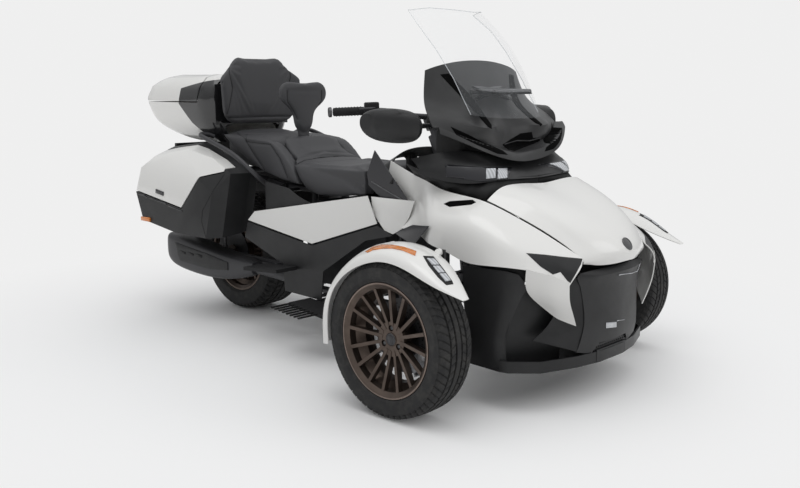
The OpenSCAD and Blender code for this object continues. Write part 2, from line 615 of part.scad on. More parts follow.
module tail_section() color(black) at_front_axle() {
    // Hugger over the rear wheel
    translate(rear_hub) round_y() translate([0, 0, -125]) linear_extrude(250) difference() {
        circle(r = 352, $fn = 96);
        circle(r = 348, $fn = 96);
        translate([-100, -500]) square([700, 1000]);
        translate([-500, -500]) square([600, 480]);
    }
    // Rear panel with a plain plate recess
    difference() {
        translate([-2125, -190, 520]) cube([20, 380, 330]);
        translate([-2130, -135, 560]) cube([8, 270, 170]);
    }
    both_sides() {
        rod([-2040 - rear_cross_r - seam, -80, 760], [-2110, -80, 760], 14);
    }
    translate([-2110, -40, 540]) cube([160, 80, 14]);
}

module tail_lamps() color("firebrick") at_front_axle() both_sides()
    translate([-2135, -180, 770]) cube([10 - seam, 110, 60]);

// Luggage

// A side case's corners: outlines in the X-Z plane at four stations across, right side
side_case_slices = [
    [-454, [[-2092, 612], [-2032, 742], [-1527, 716], [-1428, 655], [-1488, 436], [-1740, 436], [-2036, 474]]],
    [-400, [[-2072, 600], [-1985, 800], [-1690, 848], [-1480, 815], [-1350, 750], [-1430, 438], [-1640, 426],
        [-2012, 468]]],
    [-300, [[-2060, 600], [-1960, 845], [-1690, 878], [-1440, 800], [-1332, 748], [-1404, 456], [-1600, 430],
        [-2002, 470]]],
    [-245, [[-2040, 600], [-1940, 830], [-1690, 860], [-1345, 742], [-1410, 470], [-2000, 480]]]];
side_case_middle = [-1712, -349.5, 652];
side_case_half = [380, 104.5, 226];

module side_case_form() hull() for (s = side_case_slices) translate([0, s[0] + (s[0] > -300 ? 0 : 1), 0])
    rotate([90, 0, 0]) linear_extrude(1) polygon(s[1]);

module side_case_shell() difference() {
    side_case_form();
    translate(side_case_middle) scale([for (h = side_case_half) 1 - panel_t / h])
        translate(-side_case_middle) side_case_form();
}

side_lid_outline = [[-2200, 637], [-2102, 624], [-1687, 567], [-1527, 728], [-1395, 758], [-1360, 920],
    [-2200, 920]];

module side_case() color(satin) at_front_axle() {
    difference() {
        side_case_shell();
        rotate([90, 0, 0]) translate([0, 0, 340 - lid_gap]) linear_extrude(300)
            offset(delta = lid_gap) polygon(side_lid_outline);
    }
    for (x = [-1440, -1800])
        rod([x, -180, x > -1500 ? 706 : 742], [x, -251, x > -1500 ? 706 : 742], 14);
}

module side_case_right() side_case();

module side_case_left() mirror([0, 1, 0]) side_case();

module side_lid() color(white) at_front_axle() intersection() {
    side_case_shell();
    rotate([90, 0, 0]) translate([0, 0, 340]) linear_extrude(300) polygon(side_lid_outline);
}

module side_case_lid_right() side_lid();

module side_case_lid_left() mirror([0, 1, 0]) side_lid();

top_case_rings = [
    oval_z(-1835, 0, 873, 145, 190, 5, 24), oval_z(-1895, 0, 912, 215, 240, 5.5, 24),
    oval_z(-1965, 0, 964, 285, 264, 6, 24), oval_z(-1985, 0, 1030, 308, 272, 6, 24),
    oval_z(-1990, 0, 1090, 330, 276, 6, 24), oval_z(-1972, 0, 1150, 308, 272, 5.5, 24),
    oval_z(-1935, 0, 1193, 256, 246, 5, 24), oval_z(-1900, 0, 1210, 192, 190, 4.5, 24)];

module top_case_shell() intersection() {
    difference() {
        loft(top_case_rings);
        loft(shrunk_z(top_case_rings, panel_t));
    }
    translate([-2400, -400, 800]) cube([710, 800, 500]);
}

function shrunk_z(rings, t) = [for (i = [0 : len(rings) - 1]) let (c = centre_of(rings[i]),
    e = i == 0 ? t : i == len(rings) - 1 ? -t : 0)
    [for (p = rings[i]) let (d = p - c) [c[0] + d[0] * (1 - t / max(abs(d[0]), abs(d[1]), 40)),
        c[1] + d[1] * (1 - t / max(abs(d[0]), abs(d[1]), 40)), c[2] + d[2] + e]]];

top_lid_outline = [[-2500, 1075], [-1790, 1075], [-1745, 1215], [-1745, 1300], [-2500, 1300]];

module top_case() color(satin) at_front_axle() {
    difference() {
        top_case_shell();
        rotate([90, 0, 0]) translate([0, 0, -400]) linear_extrude(800)
            offset(delta = lid_gap) polygon(top_lid_outline);
    }
    translate([-1694, -230, 960]) cube([4, 460, 200]);
    both_sides() rod([-1850, -120, 760.5], [-1850, -120, 880], 10);
}

module top_case_lid() color(white) at_front_axle() intersection() {
    top_case_shell();
    rotate([90, 0, 0]) translate([0, 0, -400]) linear_extrude(800) polygon(top_lid_outline);
}

module muffler() color(black) at_front_axle() {
    loft([oval_x(-1345, -262, 285, 36, 32, 3, 24), oval_x(-1420, -264, 276, 50, 52, 3.5, 24),
        oval_x(-1592, -268, 270, 64, 74, 4.5, 24), oval_x(-1800, -270, 288, 68, 84, 5, 24),
        oval_x(-1950, -270, 306, 68, 86, 5, 24), oval_x(-2010, -270, 322, 62, 76, 4.5, 24),
        oval_x(-2026, -270, 328, 52, 64, 4, 24)]);
    rod([-1025, -240, 260], [-1350, -262, 284], 24);
    rod([-1650, -225, 310], [-1650, -225, 360], 12);
}

// Suspension and drive

module suspension_arms() color(black) at_front_axle() both_sides() {
    a_arm(lower_pivot, 16, front_tyre_r + knuckle_bottom - seam - 30);
    a_arm(upper_pivot, 14, front_tyre_r + knuckle_top + seam);
    rod([-40, damper_foot[1], damper_foot[2]], [40, damper_foot[1], damper_foot[2]], 10);
}

// Two legs from the pivots to the ball housing at the kingpin, whose underside is at height z
module a_arm(pivot, bush_r, z) difference() {
    union() {
        for (s = [1, -1]) {
            translate([s * pivot[0] - 20, pivot[1], pivot[2]]) rotate([0, 90, 0]) cylinder(r = bush_r, h = 40);
            rod([s * pivot[0], pivot[1], pivot[2]], [s * 4, -kingpin_y + 6, z + 15], arm_r);
        }
        translate([0, -kingpin_y, z]) cylinder(r = 17, h = 30);
    }
    translate([0, -kingpin_y, z - 1]) cylinder(r = ball_r + running_gap, h = 32);
    translate([0, -kingpin_y, z > 300 ? z - 40 : z + 30]) cylinder(r = 30, h = 40);
}

module dampers() color(steel) at_front_axle() {
    both_sides() damper(damper_foot, damper_head, 10 + seam, 8 + seam, [1, 0, 0]);
    damper(rear_damper_foot, rear_damper_head, 18 + seam, arm_r + seam, [0, 1, 0]);
}

// A coil spring unit between two eyes whose pins lie along X or Y
module damper(foot, head, foot_bore, head_bore, pin) difference() {
    d = unit(head - foot);
    union() {
        rod(foot + 10 * d, head - 10 * d, 12);
        rod(foot + 40 * d, foot + 52 * d, 36);
        rod(head - 60 * d, head - 48 * d, 36);
        rod(foot + 46 * d, head - 54 * d, 24);
        for (e = [[foot, foot_bore], [head, head_bore]])
            translate(e[0]) rotate(pin[0] > 0 ? [0, 90, 0] : [90, 0, 0])
                cylinder(r = e[1] + 7, h = 28, center = true);
    }
    for (e = [[foot, foot_bore], [head, head_bore]])
        translate(e[0]) rotate(pin[0] > 0 ? [0, 90, 0] : [90, 0, 0]) cylinder(r = e[1], h = 80, center = true);
}

module swing_arm() color(black) at_front_axle() {
    both_sides() {
        rod([swing_pivot[0], -112 - seam, swing_pivot[2]], [swing_pivot[0], -185, swing_pivot[2]], 24);
        rod([swing_pivot[0], -169, swing_pivot[2]], [rear_hub[0], -169, rear_hub[2]], 16);
        rod([rear_hub[0], -155, rear_hub[2]], [rear_hub[0], -185, rear_hub[2]], 26);
    }
    rod([-1290, -169, 300], [-1290, 169, 300], 18);
    rod([rear_hub[0], -170, rear_hub[2]], [rear_hub[0], 170, rear_hub[2]], axle_r);
}

module drive_belt() color(rubber) at_front_axle() {
    translate([0, 146, 0]) rotate([90, 0, 0]) linear_extrude(28) difference() {
        hull() {
            translate([-1040, 300]) circle(r = 50);
            translate([rear_hub[0], rear_hub[2]]) circle(r = 120 + seam, $fn = 72);
        }
        hull() {
            translate([-1040, 300]) circle(r = 45);
            translate([rear_hub[0], rear_hub[2]]) circle(r = 115 + seam, $fn = 72);
        }
    }
    translate([-1040, 118, 300]) rotate([-90, 0, 0]) cylinder(r = 45, h = 28);
}

// Steering

module handlebar() color(steel) at_front_axle() {
    on_column(0) cylinder(r = column_r, h = 236);
    on_column(-20) cylinder(r = 28, h = 60);
    bar(concat([for (p = bar_path) p], [for (i = [len(bar_path) - 2 : -1 : 0])
        [bar_path[i][0], -bar_path[i][1], bar_path[i][2]]]), bar_r, 12);
    both_sides() rod(bar_path[0], bar_path[0] + (grip_l + 6) * grip_way, bar_r);
}

grip_way = unit([-80, -110, -5]);
bar_path = curve([[-560, -300, 1052], [-520, -210, 1050], [-485, -110, 1030], [-470, 0, 1022]], 3);

module grips() color(rubber) at_front_axle() both_sides() difference() {
    rod(bar_path[0] + 4 * grip_way, bar_path[0] + (4 + grip_l) * grip_way, grip_r);
    rod(bar_path[0], bar_path[0] + (10 + grip_l) * grip_way, bar_r + seam);
}

// Everything that turns with a front wheel is drawn for the right side, about the wheel's centre
module at_right_wheel() at_front_axle() translate([0, -half_track, front_tyre_r]) children();

module knuckle() color(steel) at_right_wheel() {
    translate([-26, 45, knuckle_bottom]) cube([52, 30, knuckle_top - knuckle_bottom]);
    translate([0, 60, knuckle_bottom - 26]) cylinder(r = ball_r, h = 30);
    translate([0, 60, knuckle_top - 4]) cylinder(r = ball_r, h = 30);
    rotate([90, 0, 0]) translate([0, 0, -50]) cylinder(r = stub_r, h = 84);
    hull() {
        translate([-30, 62, tie_joint[2] - 8]) cube([20, 12, 16]);
        translate([tie_joint[0], tie_joint[1], tie_joint[2] - 8]) cylinder(r = 12, h = 16);
    }
    // Mudguard stays
    for (s = [1, -1]) {
        translate([s > 0 ? 10 : -130, 64, 10]) cube([120, 10, 34]);
        translate([s * 110 - 20, 64, 10]) cube([40, 38, 34]);
        translate([s * 110 - 20, 94, 10]) cube([40, 8, stay_top]);
    }
    // Brake caliper
    rotate([90, 0, 0]) difference() {
        translate([0, 0, -60]) linear_extrude(44) polygon([for (a = [-15 : -10 : -65]) 150 * [cos(a), sin(a)],
            for (a = [-65 : 10 : -15]) 84 * [cos(a), sin(a)]]);
        translate([0, 0, -38]) cylinder(r = front_disc_r + 3, h = 11);
    }
    translate([15, 45, -70]) cube([50, 15, 50]);
}

module knuckle_right() knuckle();

module knuckle_left() mirror([0, 1, 0]) knuckle();

module mudguard() color(white) at_front_axle() {
    sheet(guard_grid, guard_skin);
    under(guard_grid) for (s = [1, -1])
        rod([s * 110, -half_track + 94 - seam, front_tyre_r + stay_top],
            [s * 110, -half_track + 30, front_tyre_r + stay_top], 13);
}

module mudguard_right() mudguard();

module mudguard_left() mirror([0, 1, 0]) mudguard();

// A rim's section: lips at half width m, a dropped centre, and the bead seats just inside the tyre
function rim_section(b, m) = [[b + 15.5, -m], [b + 15.5, 6 - m], [b + 1.5, 10 - m], [b + 0.5, 28 - m],
    [170, 46 - m], [168, 6], [b + 0.5, m - 42], [b + 1.5, m - 10], [b + 15.5, m - 6], [b + 15.5, m],
    [198, m], [183, m - 12], [182, 32], [160, 4], [160, 44 - m], [182, 26 - m], [184, 12 - m], [199, -m]];

module front_rim() color(bronze) at_right_wheel() round_y() {
    rotate_extrude($fn = 96) polygon(rim_section(bead_r, front_tyre_w / 2 - 10.5));
    difference() {
        union() {
            intersection() {
                rotate_extrude($fn = 96) polygon([[0, 5], [60, 8], [184, 42], [184, 62], [62, 38], [0, 36]]);
                translate([0, 0, -10]) linear_extrude(90) spoke_pattern();
            }
            translate([0, 0, -20]) cylinder(r = 46, h = 50);
            translate([0, 0, 6]) cylinder(r = 62, h = 30);
        }
        translate([0, 0, -21]) cylinder(r = stub_r + running_gap, h = 56);
        for (a = [90, 210, 330])
            rotate(a) translate([40, 0, 24]) cylinder(r = 11, h = 20);
    }
}

// Eight pairs of spokes, each pair a V that opens outwards
module spoke_pattern() for (k = [0 : 7]) rotate(28.7 + 45 * k) for (s = [1, -1])
    polygon([[40, s * 2], [40, s * 14], [184, s * 43], [184, s * 30]]);

module front_rim_right() front_rim();

module front_rim_left() mirror([0, 1, 0]) front_rim();

function tyre_section(r, w, b) = let (h = w / 2, side = [
        [b + 2, h - 33], [b + 2, h - 21], [b + 15.5, h - 17], [b + 20, h - 9], [b + 34, h - 2],
        [(b + r) / 2 + 8, h], [r - 20, h - 2], [r - 8, h - 10], [r - 2, h - 22], [r, h - 40]],
    inner = [[r - 10, h - 40], [r - 14, h - 24], [r - 24, h - 10], [(b + r) / 2 + 8, h - 8], [b + 34, h - 10],
        [b + 20, h - 18], [b + 12, h - 30]])
    concat(side, reversed([for (p = side) [p[0], -p[1]]]), [for (p = reversed(inner)) [p[0], -p[1]]], inner);

module front_tyre() color(rubber) at_right_wheel() round_y()
    rotate_extrude($fn = 96) polygon(tyre_section(front_tyre_r, front_tyre_w, bead_r));

module front_tyre_right() front_tyre();

module front_tyre_left() mirror([0, 1, 0]) front_tyre();

module front_disc() color(steel) at_right_wheel() round_y() rotate_extrude($fn = 96)
    polygon([[46 + seam, -20], [76, -20], [76, -30], [front_disc_r, -30], [front_disc_r, -30 - disc_t],
        [70, -30 - disc_t], [70, -26], [46 + seam, -26]]);

module front_disc_right() front_disc();

module front_disc_left() mirror([0, 1, 0]) front_disc();

function rear_rim_section(b, m) = let (half = [[b + 15.5, m], [b + 15.5, m - 6], [b + 1.5, m - 10],
        [b + 0.5, m - 34], [170, m - 54]], under = [[162, m - 54], [182, m - 34], [183, m - 12], [198, m]])
    concat(half, reversed([for (p = half) [p[0], -p[1]]]), [for (p = reversed(under)) [p[0], -p[1]]], under);

module rear_rim() color(bronze) at_front_axle() translate(rear_hub) round_y() difference() {
    union() {
        rotate_extrude($fn = 96) polygon(rear_rim_section(bead_r, rear_tyre_w / 2 - 10.5));
        translate([0, 0, -30]) linear_extrude(60) intersection() {
            spoke_pattern();
            circle(r = 166, $fn = 96);
        }
        translate([0, 0, -148]) cylinder(r = 38, h = 283);
        translate([0, 0, -40]) cylinder(r = 62, h = 80);
        translate([0, 0, -146]) cylinder(r = 115, h = 28, $fn = 72);
    }
    translate([0, 0, -150]) cylinder(r = axle_r + running_gap, h = 300);
}

module rear_tyre() color(rubber) at_front_axle() translate(rear_hub) round_y()
    rotate_extrude($fn = 96) polygon(tyre_section(rear_tyre_r, rear_tyre_w, bead_r));

module rear_disc() color(steel) at_front_axle() translate(rear_hub) round_y() rotate_extrude($fn = 96)
    polygon([[38 + seam, 124], [125, 124], [125, 129], [38 + seam, 129]]);

// The outer ball is at the steering arm; the inner end stops beside the rack
module tie_rod() color(steel) at_right_wheel() difference() {
    union() {
        translate([tie_joint[0], tie_joint[1], tie_joint[2] - 8 - seam - 16]) cylinder(r = 14, h = 16);
        rod([tie_joint[0], tie_joint[1] + 4, tie_joint[2] - 16], tie_inner, 8);
    }
    translate([tie_joint[0], tie_joint[1], tie_joint[2] - 8 - seam]) cylinder(r = 30, h = 40);
}

module tie_rod_right() tie_rod();

module tie_rod_left() mirror([0, 1, 0]) tie_rod();

frame();
engine_block();
front_bumper();
side_fairings();
trunk_bin();
headlamp_cowl();
headlamp_lenses();
screen_cowl();
windscreen();
instrument_panel();
mirrors();
knee_panels();
centre_console();
lower_side_panels();
seat_side_panels();
rear_side_panels();
driver_seat();
passenger_seat();
driver_backrest();
passenger_backrest();
grab_handles();
footboards();
tail_section();
tail_lamps();
side_case_right();
side_case_left();
top_case();
muffler();
swing_arm();
dampers();
drive_belt();
suspension_arms();
bonnet();
top_case_lid();
side_case_lid_right();
side_case_lid_left();
handlebar();
grips();
knuckle_right();
knuckle_left();
mudguard_right();
mudguard_left();
front_rim_right();
front_rim_left();
front_tyre_right();
front_tyre_left();
front_disc_right();
front_disc_left();
rear_rim();
rear_tyre();
rear_disc();
tie_rod_right();
tie_rod_left();
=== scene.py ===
"""Looks of a touring trike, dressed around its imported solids.

Each sub-assembly is a class with its sizes as fields and methods that build and dress its meshes. Lengths are in
metres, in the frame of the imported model: X forward, Y left, Z up.
"""

from __future__ import annotations

import json
import logging
import math
from dataclasses import dataclass, field
from enum import Enum
from typing import Callable, Sequence, Union

import bmesh
import bpy
from mathutils import Matrix, Vector, kdtree
from mathutils.bvhtree import BVHTree

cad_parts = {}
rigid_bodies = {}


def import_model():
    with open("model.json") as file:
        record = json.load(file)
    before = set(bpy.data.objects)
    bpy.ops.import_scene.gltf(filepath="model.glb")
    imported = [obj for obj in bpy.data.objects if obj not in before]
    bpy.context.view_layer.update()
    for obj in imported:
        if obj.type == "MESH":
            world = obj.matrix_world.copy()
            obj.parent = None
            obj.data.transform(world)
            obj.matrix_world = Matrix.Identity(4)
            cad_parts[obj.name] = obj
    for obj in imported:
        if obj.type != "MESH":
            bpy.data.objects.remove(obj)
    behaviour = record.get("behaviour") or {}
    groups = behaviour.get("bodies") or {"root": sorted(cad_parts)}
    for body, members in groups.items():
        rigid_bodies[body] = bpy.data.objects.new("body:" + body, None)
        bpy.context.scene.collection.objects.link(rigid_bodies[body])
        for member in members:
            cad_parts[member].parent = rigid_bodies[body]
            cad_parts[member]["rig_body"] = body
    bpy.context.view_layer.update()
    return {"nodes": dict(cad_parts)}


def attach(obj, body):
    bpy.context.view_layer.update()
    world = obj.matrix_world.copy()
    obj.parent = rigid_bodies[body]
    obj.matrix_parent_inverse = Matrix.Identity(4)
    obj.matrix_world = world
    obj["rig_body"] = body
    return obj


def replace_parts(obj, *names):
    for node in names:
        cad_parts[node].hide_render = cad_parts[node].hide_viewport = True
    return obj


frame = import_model()

log = logging.getLogger("trike")

AXLE_X = 0.906
HALF_TRACK = 0.692
HUB_Z = 0.281
REAR_X = AXLE_X - 1.714
REAR_Z = 0.303
BEAD_R = 0.1905
FRONT_TYRE_R = 0.281
REAR_TYRE_R = 0.303
LINE_REACH = 3.2
SMOOTH_LIMIT = math.radians(32)
SQUARE_LIMIT = math.radians(70)
MERGE = 2e-6

SIDES = ("right", "left")
CHASSIS = ("chassis", "chassis")
WHEELS = ("front_wheel_right", "front_wheel_left")
KNUCKLES = ("knuckle_right", "knuckle_left")
LIDS = ("side_case_lid_right", "side_case_lid_left")
STEERED = ("handlebar", "handlebar")

Colour = tuple[float, float, float, float]
Profile = Sequence[tuple[float, float]]
Outline = Sequence[tuple[float, float]]
Bodies = Union[str, tuple[str, str]]


def at(x: float, y: float, z: float) -> Vector:
    """Returns a point given in millimetres from the front axle on the ground."""
    return Vector((AXLE_X + x / 1000, y / 1000, z / 1000))


def spots(*places: tuple[float, float, float]) -> list[Vector]:
    """Returns points given in millimetres from the front axle on the ground."""
    return [at(*place) for place in places]


def other_side(point: Vector) -> Vector:
    """Returns the point's twin on the other side of the vehicle."""
    return Vector((point.x, -point.y, point.z))


# Materials


class Sock:
    """A shader socket, or a number, that takes part in Python expressions."""

    def __init__(self, shade: "Shade", value: object) -> None:
        """Keeps the shade that the socket belongs to, and the socket or number itself."""
        self.shade = shade
        self.value = value

    def _math(self, operation: str, a: object, b: object) -> "Sock":
        """Returns the result of a Math node with that operation on a and b."""
        return self.shade.node("ShaderNodeMath", {"operation": operation}, {0: a, 1: b})

    def __add__(self, other: object) -> "Sock":
        """Returns self + other."""
        return self._math("ADD", self, other)

    def __radd__(self, other: object) -> "Sock":
        """Returns other + self."""
        return self._math("ADD", other, self)

    def __sub__(self, other: object) -> "Sock":
        """Returns self - other."""
        return self._math("SUBTRACT", self, other)

    def __rsub__(self, other: object) -> "Sock":
        """Returns other - self."""
        return self._math("SUBTRACT", other, self)

    def __mul__(self, other: object) -> "Sock":
        """Returns self * other."""
        return self._math("MULTIPLY", self, other)

    def over(self, limit: float) -> "Sock":
        """Returns 1 where self is over the limit, else 0."""
        return self._math("GREATER_THAN", self, limit)

    def clamped(self) -> "Sock":
        """Returns self kept between 0 and 1."""
        return self.shade.node("ShaderNodeClamp", {}, {"Value": self})


class Shade:
    """A material's node tree, with the few calls that the finishes need."""

    def __init__(self, name: str) -> None:
        """Makes an empty material of that name with its shader and output."""
        self.material = bpy.data.materials.new(name)
        self.material.use_nodes = True
        self.tree = self.material.node_tree
        self.tree.nodes.clear()
        self.output = self.tree.nodes.new("ShaderNodeOutputMaterial")
        self.shader = self.tree.nodes.new("ShaderNodeBsdfPrincipled")
        self.tree.links.new(self.shader.outputs[0], self.output.inputs["Surface"])

    def node(self, kind: str, settings: dict[str, object], inputs: dict[object, object], out: object = 0) -> Sock:
        """Adds a node.

        Args:
            kind: The node's type name.
            settings: Its properties, set before the sockets.
            inputs: Values or sockets for its inputs, by name or index.
            out: The output wanted, by name or index.

        Returns:
            The output as a Sock.
        """
        made = self.tree.nodes.new(kind)
        for key, value in settings.items():
            setattr(made, key, value)
        for key, value in inputs.items():
            self.feed(made.inputs[key], value)
        return Sock(self, made.outputs[out])

    def feed(self, socket: bpy.types.NodeSocket, value: object) -> None:
        """Links a Sock to the socket, or sets the socket's own value."""
        if isinstance(value, Sock):
            value = value.value
        if isinstance(value, bpy.types.NodeSocket):
            self.tree.links.new(value, socket)
        else:
            socket.default_value = value

    def set(self, **sockets: object) -> None:
        """Sets or links the shader's sockets, with underscores for the spaces of their names."""
        for key, value in sockets.items():
            self.feed(self.shader.inputs[key.replace("_", " ")], value)

    def place(self) -> Sock:
        """Returns the object coordinates."""
        return self.node("ShaderNodeTexCoord", {}, {}, "Object")

    def axis(self, index: int) -> Sock:
        """Returns one of the object coordinates, 0 to 2."""
        return self.node("ShaderNodeSeparateXYZ", {}, {0: self.place()}, index)

    def noise(self, scale: float, detail: float = 2.0, rough: float = 0.5, vector: object = None) -> Sock:
        """Returns a noise of so many features a metre, about 0.5."""
        return self.node("ShaderNodeTexNoise", {}, {"Vector": vector or self.place(), "Scale": scale,
                         "Detail": detail, "Roughness": rough}, "Fac")

    def cells(self, scale: float, feature: str = "F1", vector: object = None) -> Sock:
        """Returns the distance in a cell pattern of so many cells a metre."""
        return self.node("ShaderNodeTexVoronoi", {"feature": feature},
                         {"Vector": vector or self.place(), "Scale": scale}, "Distance")

    def stretched(self, x: float, y: float, z: float) -> Sock:
        """Returns the object coordinates scaled along each axis."""
        return self.node("ShaderNodeMapping", {}, {"Vector": self.place(), "Scale": (x, y, z)})

    def blend(self, factor: object, a: object, b: object) -> Sock:
        """Returns colour a where the factor is 0 and b where it is 1."""
        mix = self.tree.nodes.new("ShaderNodeMix")
        mix.data_type = "RGBA"
        self.feed(mix.inputs[0], factor)
        self.feed(mix.inputs[6], a)
        self.feed(mix.inputs[7], b)
        return Sock(self, mix.outputs[2])

    def ramp(self, value: object, low: float, high: float) -> Sock:
        """Returns value turned so that low gives 0 and high gives 1, kept between them."""
        return self.node("ShaderNodeMapRange", {"clamp": True},
                         {"Value": value, "From Min": low, "From Max": high})

    def bump(self, height: Sock, depth: float, strength: float = 1.0) -> None:
        """Feeds the shader's normal with a bump of that depth in metres."""
        self.set(Normal=self.node("ShaderNodeBump", {}, {"Height": height, "Distance": depth,
                                                         "Strength": strength}))


def rgb(r: float, g: float, b: float) -> Colour:
    """Returns a colour with full alpha."""
    return (r, g, b, 1.0)


def grey(tone: float) -> Colour:
    """Returns a grey with full alpha."""
    return rgb(tone, tone, tone)


def times(colour: Colour, share: float) -> Colour:
    """Returns a colour made darker, or lighter where the share is over 1."""
    return rgb(*(c * share for c in colour[:3]))


@dataclass(frozen=True)
class Finish:
    """A finish: its name, a slot name that is not used, and its main colour."""

    name: str
    slot: str
    colour: Colour
    rough: float = 0.5
    metal: float = 0.0

    def build(self) -> bpy.types.Material:
        """Returns the material, made at its first use."""
        found = bpy.data.materials.get(self.name)
        if found:
            return found
        shade = Shade(self.name)
        shade.set(Roughness=self.rough, Metallic=self.metal)
        shade.material.diffuse_color = self.colour
        self.paint(shade)
        return shade.material

    def paint(self, shade: Shade) -> None:
        """Draws the finish on the shade."""
        shade.set(Base_Color=self.colour)


@dataclass(frozen=True)
class PearlPaint(Finish):
    """Gloss pearl paint with a fine flake under a clear coat."""

    def paint(self, shade: Shade) -> None:
        """Draws the finish on the shade."""
        warm = shade.blend(shade.noise(5, 3), self.colour, times(self.colour, 0.965))
        shade.set(Base_Color=self.with_flake_glints(shade, warm), Roughness=0.3 + shade.noise(40, 3) * 0.06,
                  Coat_Roughness=0.04, Coat_Weight=0.7)
        shade.bump(shade.noise(160, 1), 0.00003)

    def with_flake_glints(self, shade: Shade, base: object) -> Sock:
        """Returns the base colour with the fine flake over it, whose glints are painted lighter."""
        # the flake is the paint's own; its near-white speckles are painted glints
        flake = shade.ramp(shade.cells(2600), 0.1, 0.6)
        return shade.blend(flake * 0.05, base, rgb(1, 0.99, 0.96))


@dataclass(frozen=True)
class MouldedPlastic(Finish):
    """Unpainted plastic with a fine moulded grain."""

    grain: float = 900
    depth: float = 0.0002
    shine: float = 0.36

    def paint(self, shade: Shade) -> None:
        """Draws the finish on the shade."""
        scuff = shade.noise(14, 5, 0.6)
        shade.set(Base_Color=shade.blend(shade.ramp(scuff, 0.3, 0.7), self.colour, times(self.colour, 0.72)),
                  Roughness=(self.rough - 0.06) + scuff * 0.12, Specular_IOR_Level=self.shine)
        shade.bump(shade.cells(self.grain), self.depth, 0.5)


@dataclass(frozen=True)
class GlossBlack(Finish):
    """Piano black under a clear coat."""

    def paint(self, shade: Shade) -> None:
        """Draws the finish on the shade."""
        shade.set(Base_Color=shade.blend(shade.noise(9, 3), self.colour, rgb(0.018, 0.018, 0.02)),
                  Roughness=self.rough + shade.noise(30, 4) * 0.08, Coat_Weight=1.0, Coat_Roughness=0.03)
        shade.bump(shade.noise(120, 1), 0.00002)


@dataclass(frozen=True)
class Metal(Finish):
    """Cast, painted or polished metal with a fine mottling."""

    mottle: float = 300
    depth: float = 0.00006

    def paint(self, shade: Shade) -> None:
        """Draws the finish on the shade."""
        stain = shade.noise(22, 5, 0.62)
        shade.set(Base_Color=shade.blend(shade.ramp(stain, 0.35, 0.75), self.colour, times(self.colour, 0.7)),
                  Roughness=(self.rough - 0.05) + stain * 0.14)
        shade.bump(shade.noise(self.mottle, 4), self.depth, 0.6)


@dataclass(frozen=True)
class BrushedMetal(Finish):
    """Metal turned or brushed in fine lines."""

    def paint(self, shade: Shade) -> None:
        """Draws the finish on the shade."""
        lines = shade.noise(60, 4, 0.7, shade.stretched(1, 24, 1))
        shade.set(Base_Color=shade.blend(lines, self.colour, times(self.colour, 0.8)),
                  Roughness=self.rough + lines * 0.15)
        shade.bump(lines, 0.00005, 0.5)


@dataclass(frozen=True)
class TyreRubber(Finish):
    """Tyre rubber, greyer and drier where it is worn."""

    def paint(self, shade: Shade) -> None:
        """Draws the finish on the shade."""
        dust = shade.noise(26, 6, 0.65)
        shade.set(Base_Color=shade.blend(shade.ramp(dust, 0.45, 0.8), self.colour, rgb(0.05, 0.048, 0.045)),
                  Roughness=0.62 + dust * 0.25)
        shade.bump(shade.noise(700, 4, 0.7), 0.00018, 0.6)


@dataclass(frozen=True)
class SeatCover(Finish):
    """Seat vinyl with a pebbled grain and a soft sheen."""

    grain: float = 420

    def paint(self, shade: Shade) -> None:
        """Draws the finish on the shade."""
        wear = shade.noise(11, 5, 0.6)
        pebbles = shade.cells(self.grain, "DISTANCE_TO_EDGE")
        creases = shade.noise(60, 6, 0.7)
        shade.set(Base_Color=shade.blend(shade.ramp(wear, 0.3, 0.75), self.colour, times(self.colour, 1.6)),
                  Roughness=0.5 + wear * 0.16, Specular_IOR_Level=0.28)
        shade.bump(shade.ramp(pebbles, 0.0, 0.22) * 0.7 + creases * 0.6, 0.0005, 0.55)


@dataclass(frozen=True)
class ClearPane(Finish):
    """Clear or tinted pane or lens."""

    alpha: float = 0.2

    def paint(self, shade: Shade) -> None:
        """Draws the finish on the shade."""
        haze = shade.noise(7, 3)
        shade.set(Base_Color=shade.blend(haze, self.colour, times(self.colour, 0.96)),
                  Roughness=self.rough, IOR=1.45, Alpha=self.alpha + haze * 0.03)


@dataclass(frozen=True)
class Lamp(Finish):
    """Lens moulded in fine ribs."""

    ribs: float = 500

    def paint(self, shade: Shade) -> None:
        """Draws the finish on the shade."""
        across = shade.node("ShaderNodeMath", {"operation": "SINE"}, {0: shade.axis(1) * self.ribs})
        shade.set(Base_Color=shade.blend(shade.ramp(across, -1, 1), self.colour, times(self.colour, 0.6)),
                  Roughness=0.12 + shade.noise(20) * 0.05, Coat_Weight=1.0, Coat_Roughness=0.02)
        shade.bump(across, 0.0004)


@dataclass(frozen=True)
class CaliperSplit(Metal):
    """Dark painted casting whose brake caliper, low and to the front, is bare alloy."""

    bare: Colour = rgb(0.42, 0.43, 0.45)
    caliper_rear: float = AXLE_X + 0.034
    caliper_top: float = HUB_Z - 0.012

    def paint(self, shade: Shade) -> None:
        """Draws the finish on the shade."""
        stain = shade.ramp(shade.noise(22, 5, 0.62), 0.35, 0.75)
        caliper = shade.axis(0).over(self.caliper_rear) * (1 - shade.axis(2).over(self.caliper_top))
        metal = shade.blend(stain, self.bare, times(self.bare, 0.75))
        shade.set(Base_Color=shade.blend(caliper, self.colour, metal), Metallic=0.2 + caliper * 0.6,
                  Roughness=(self.rough - 0.05) + stain * 0.1)
        shade.bump(shade.noise(self.mottle, 4), self.depth, 0.6)


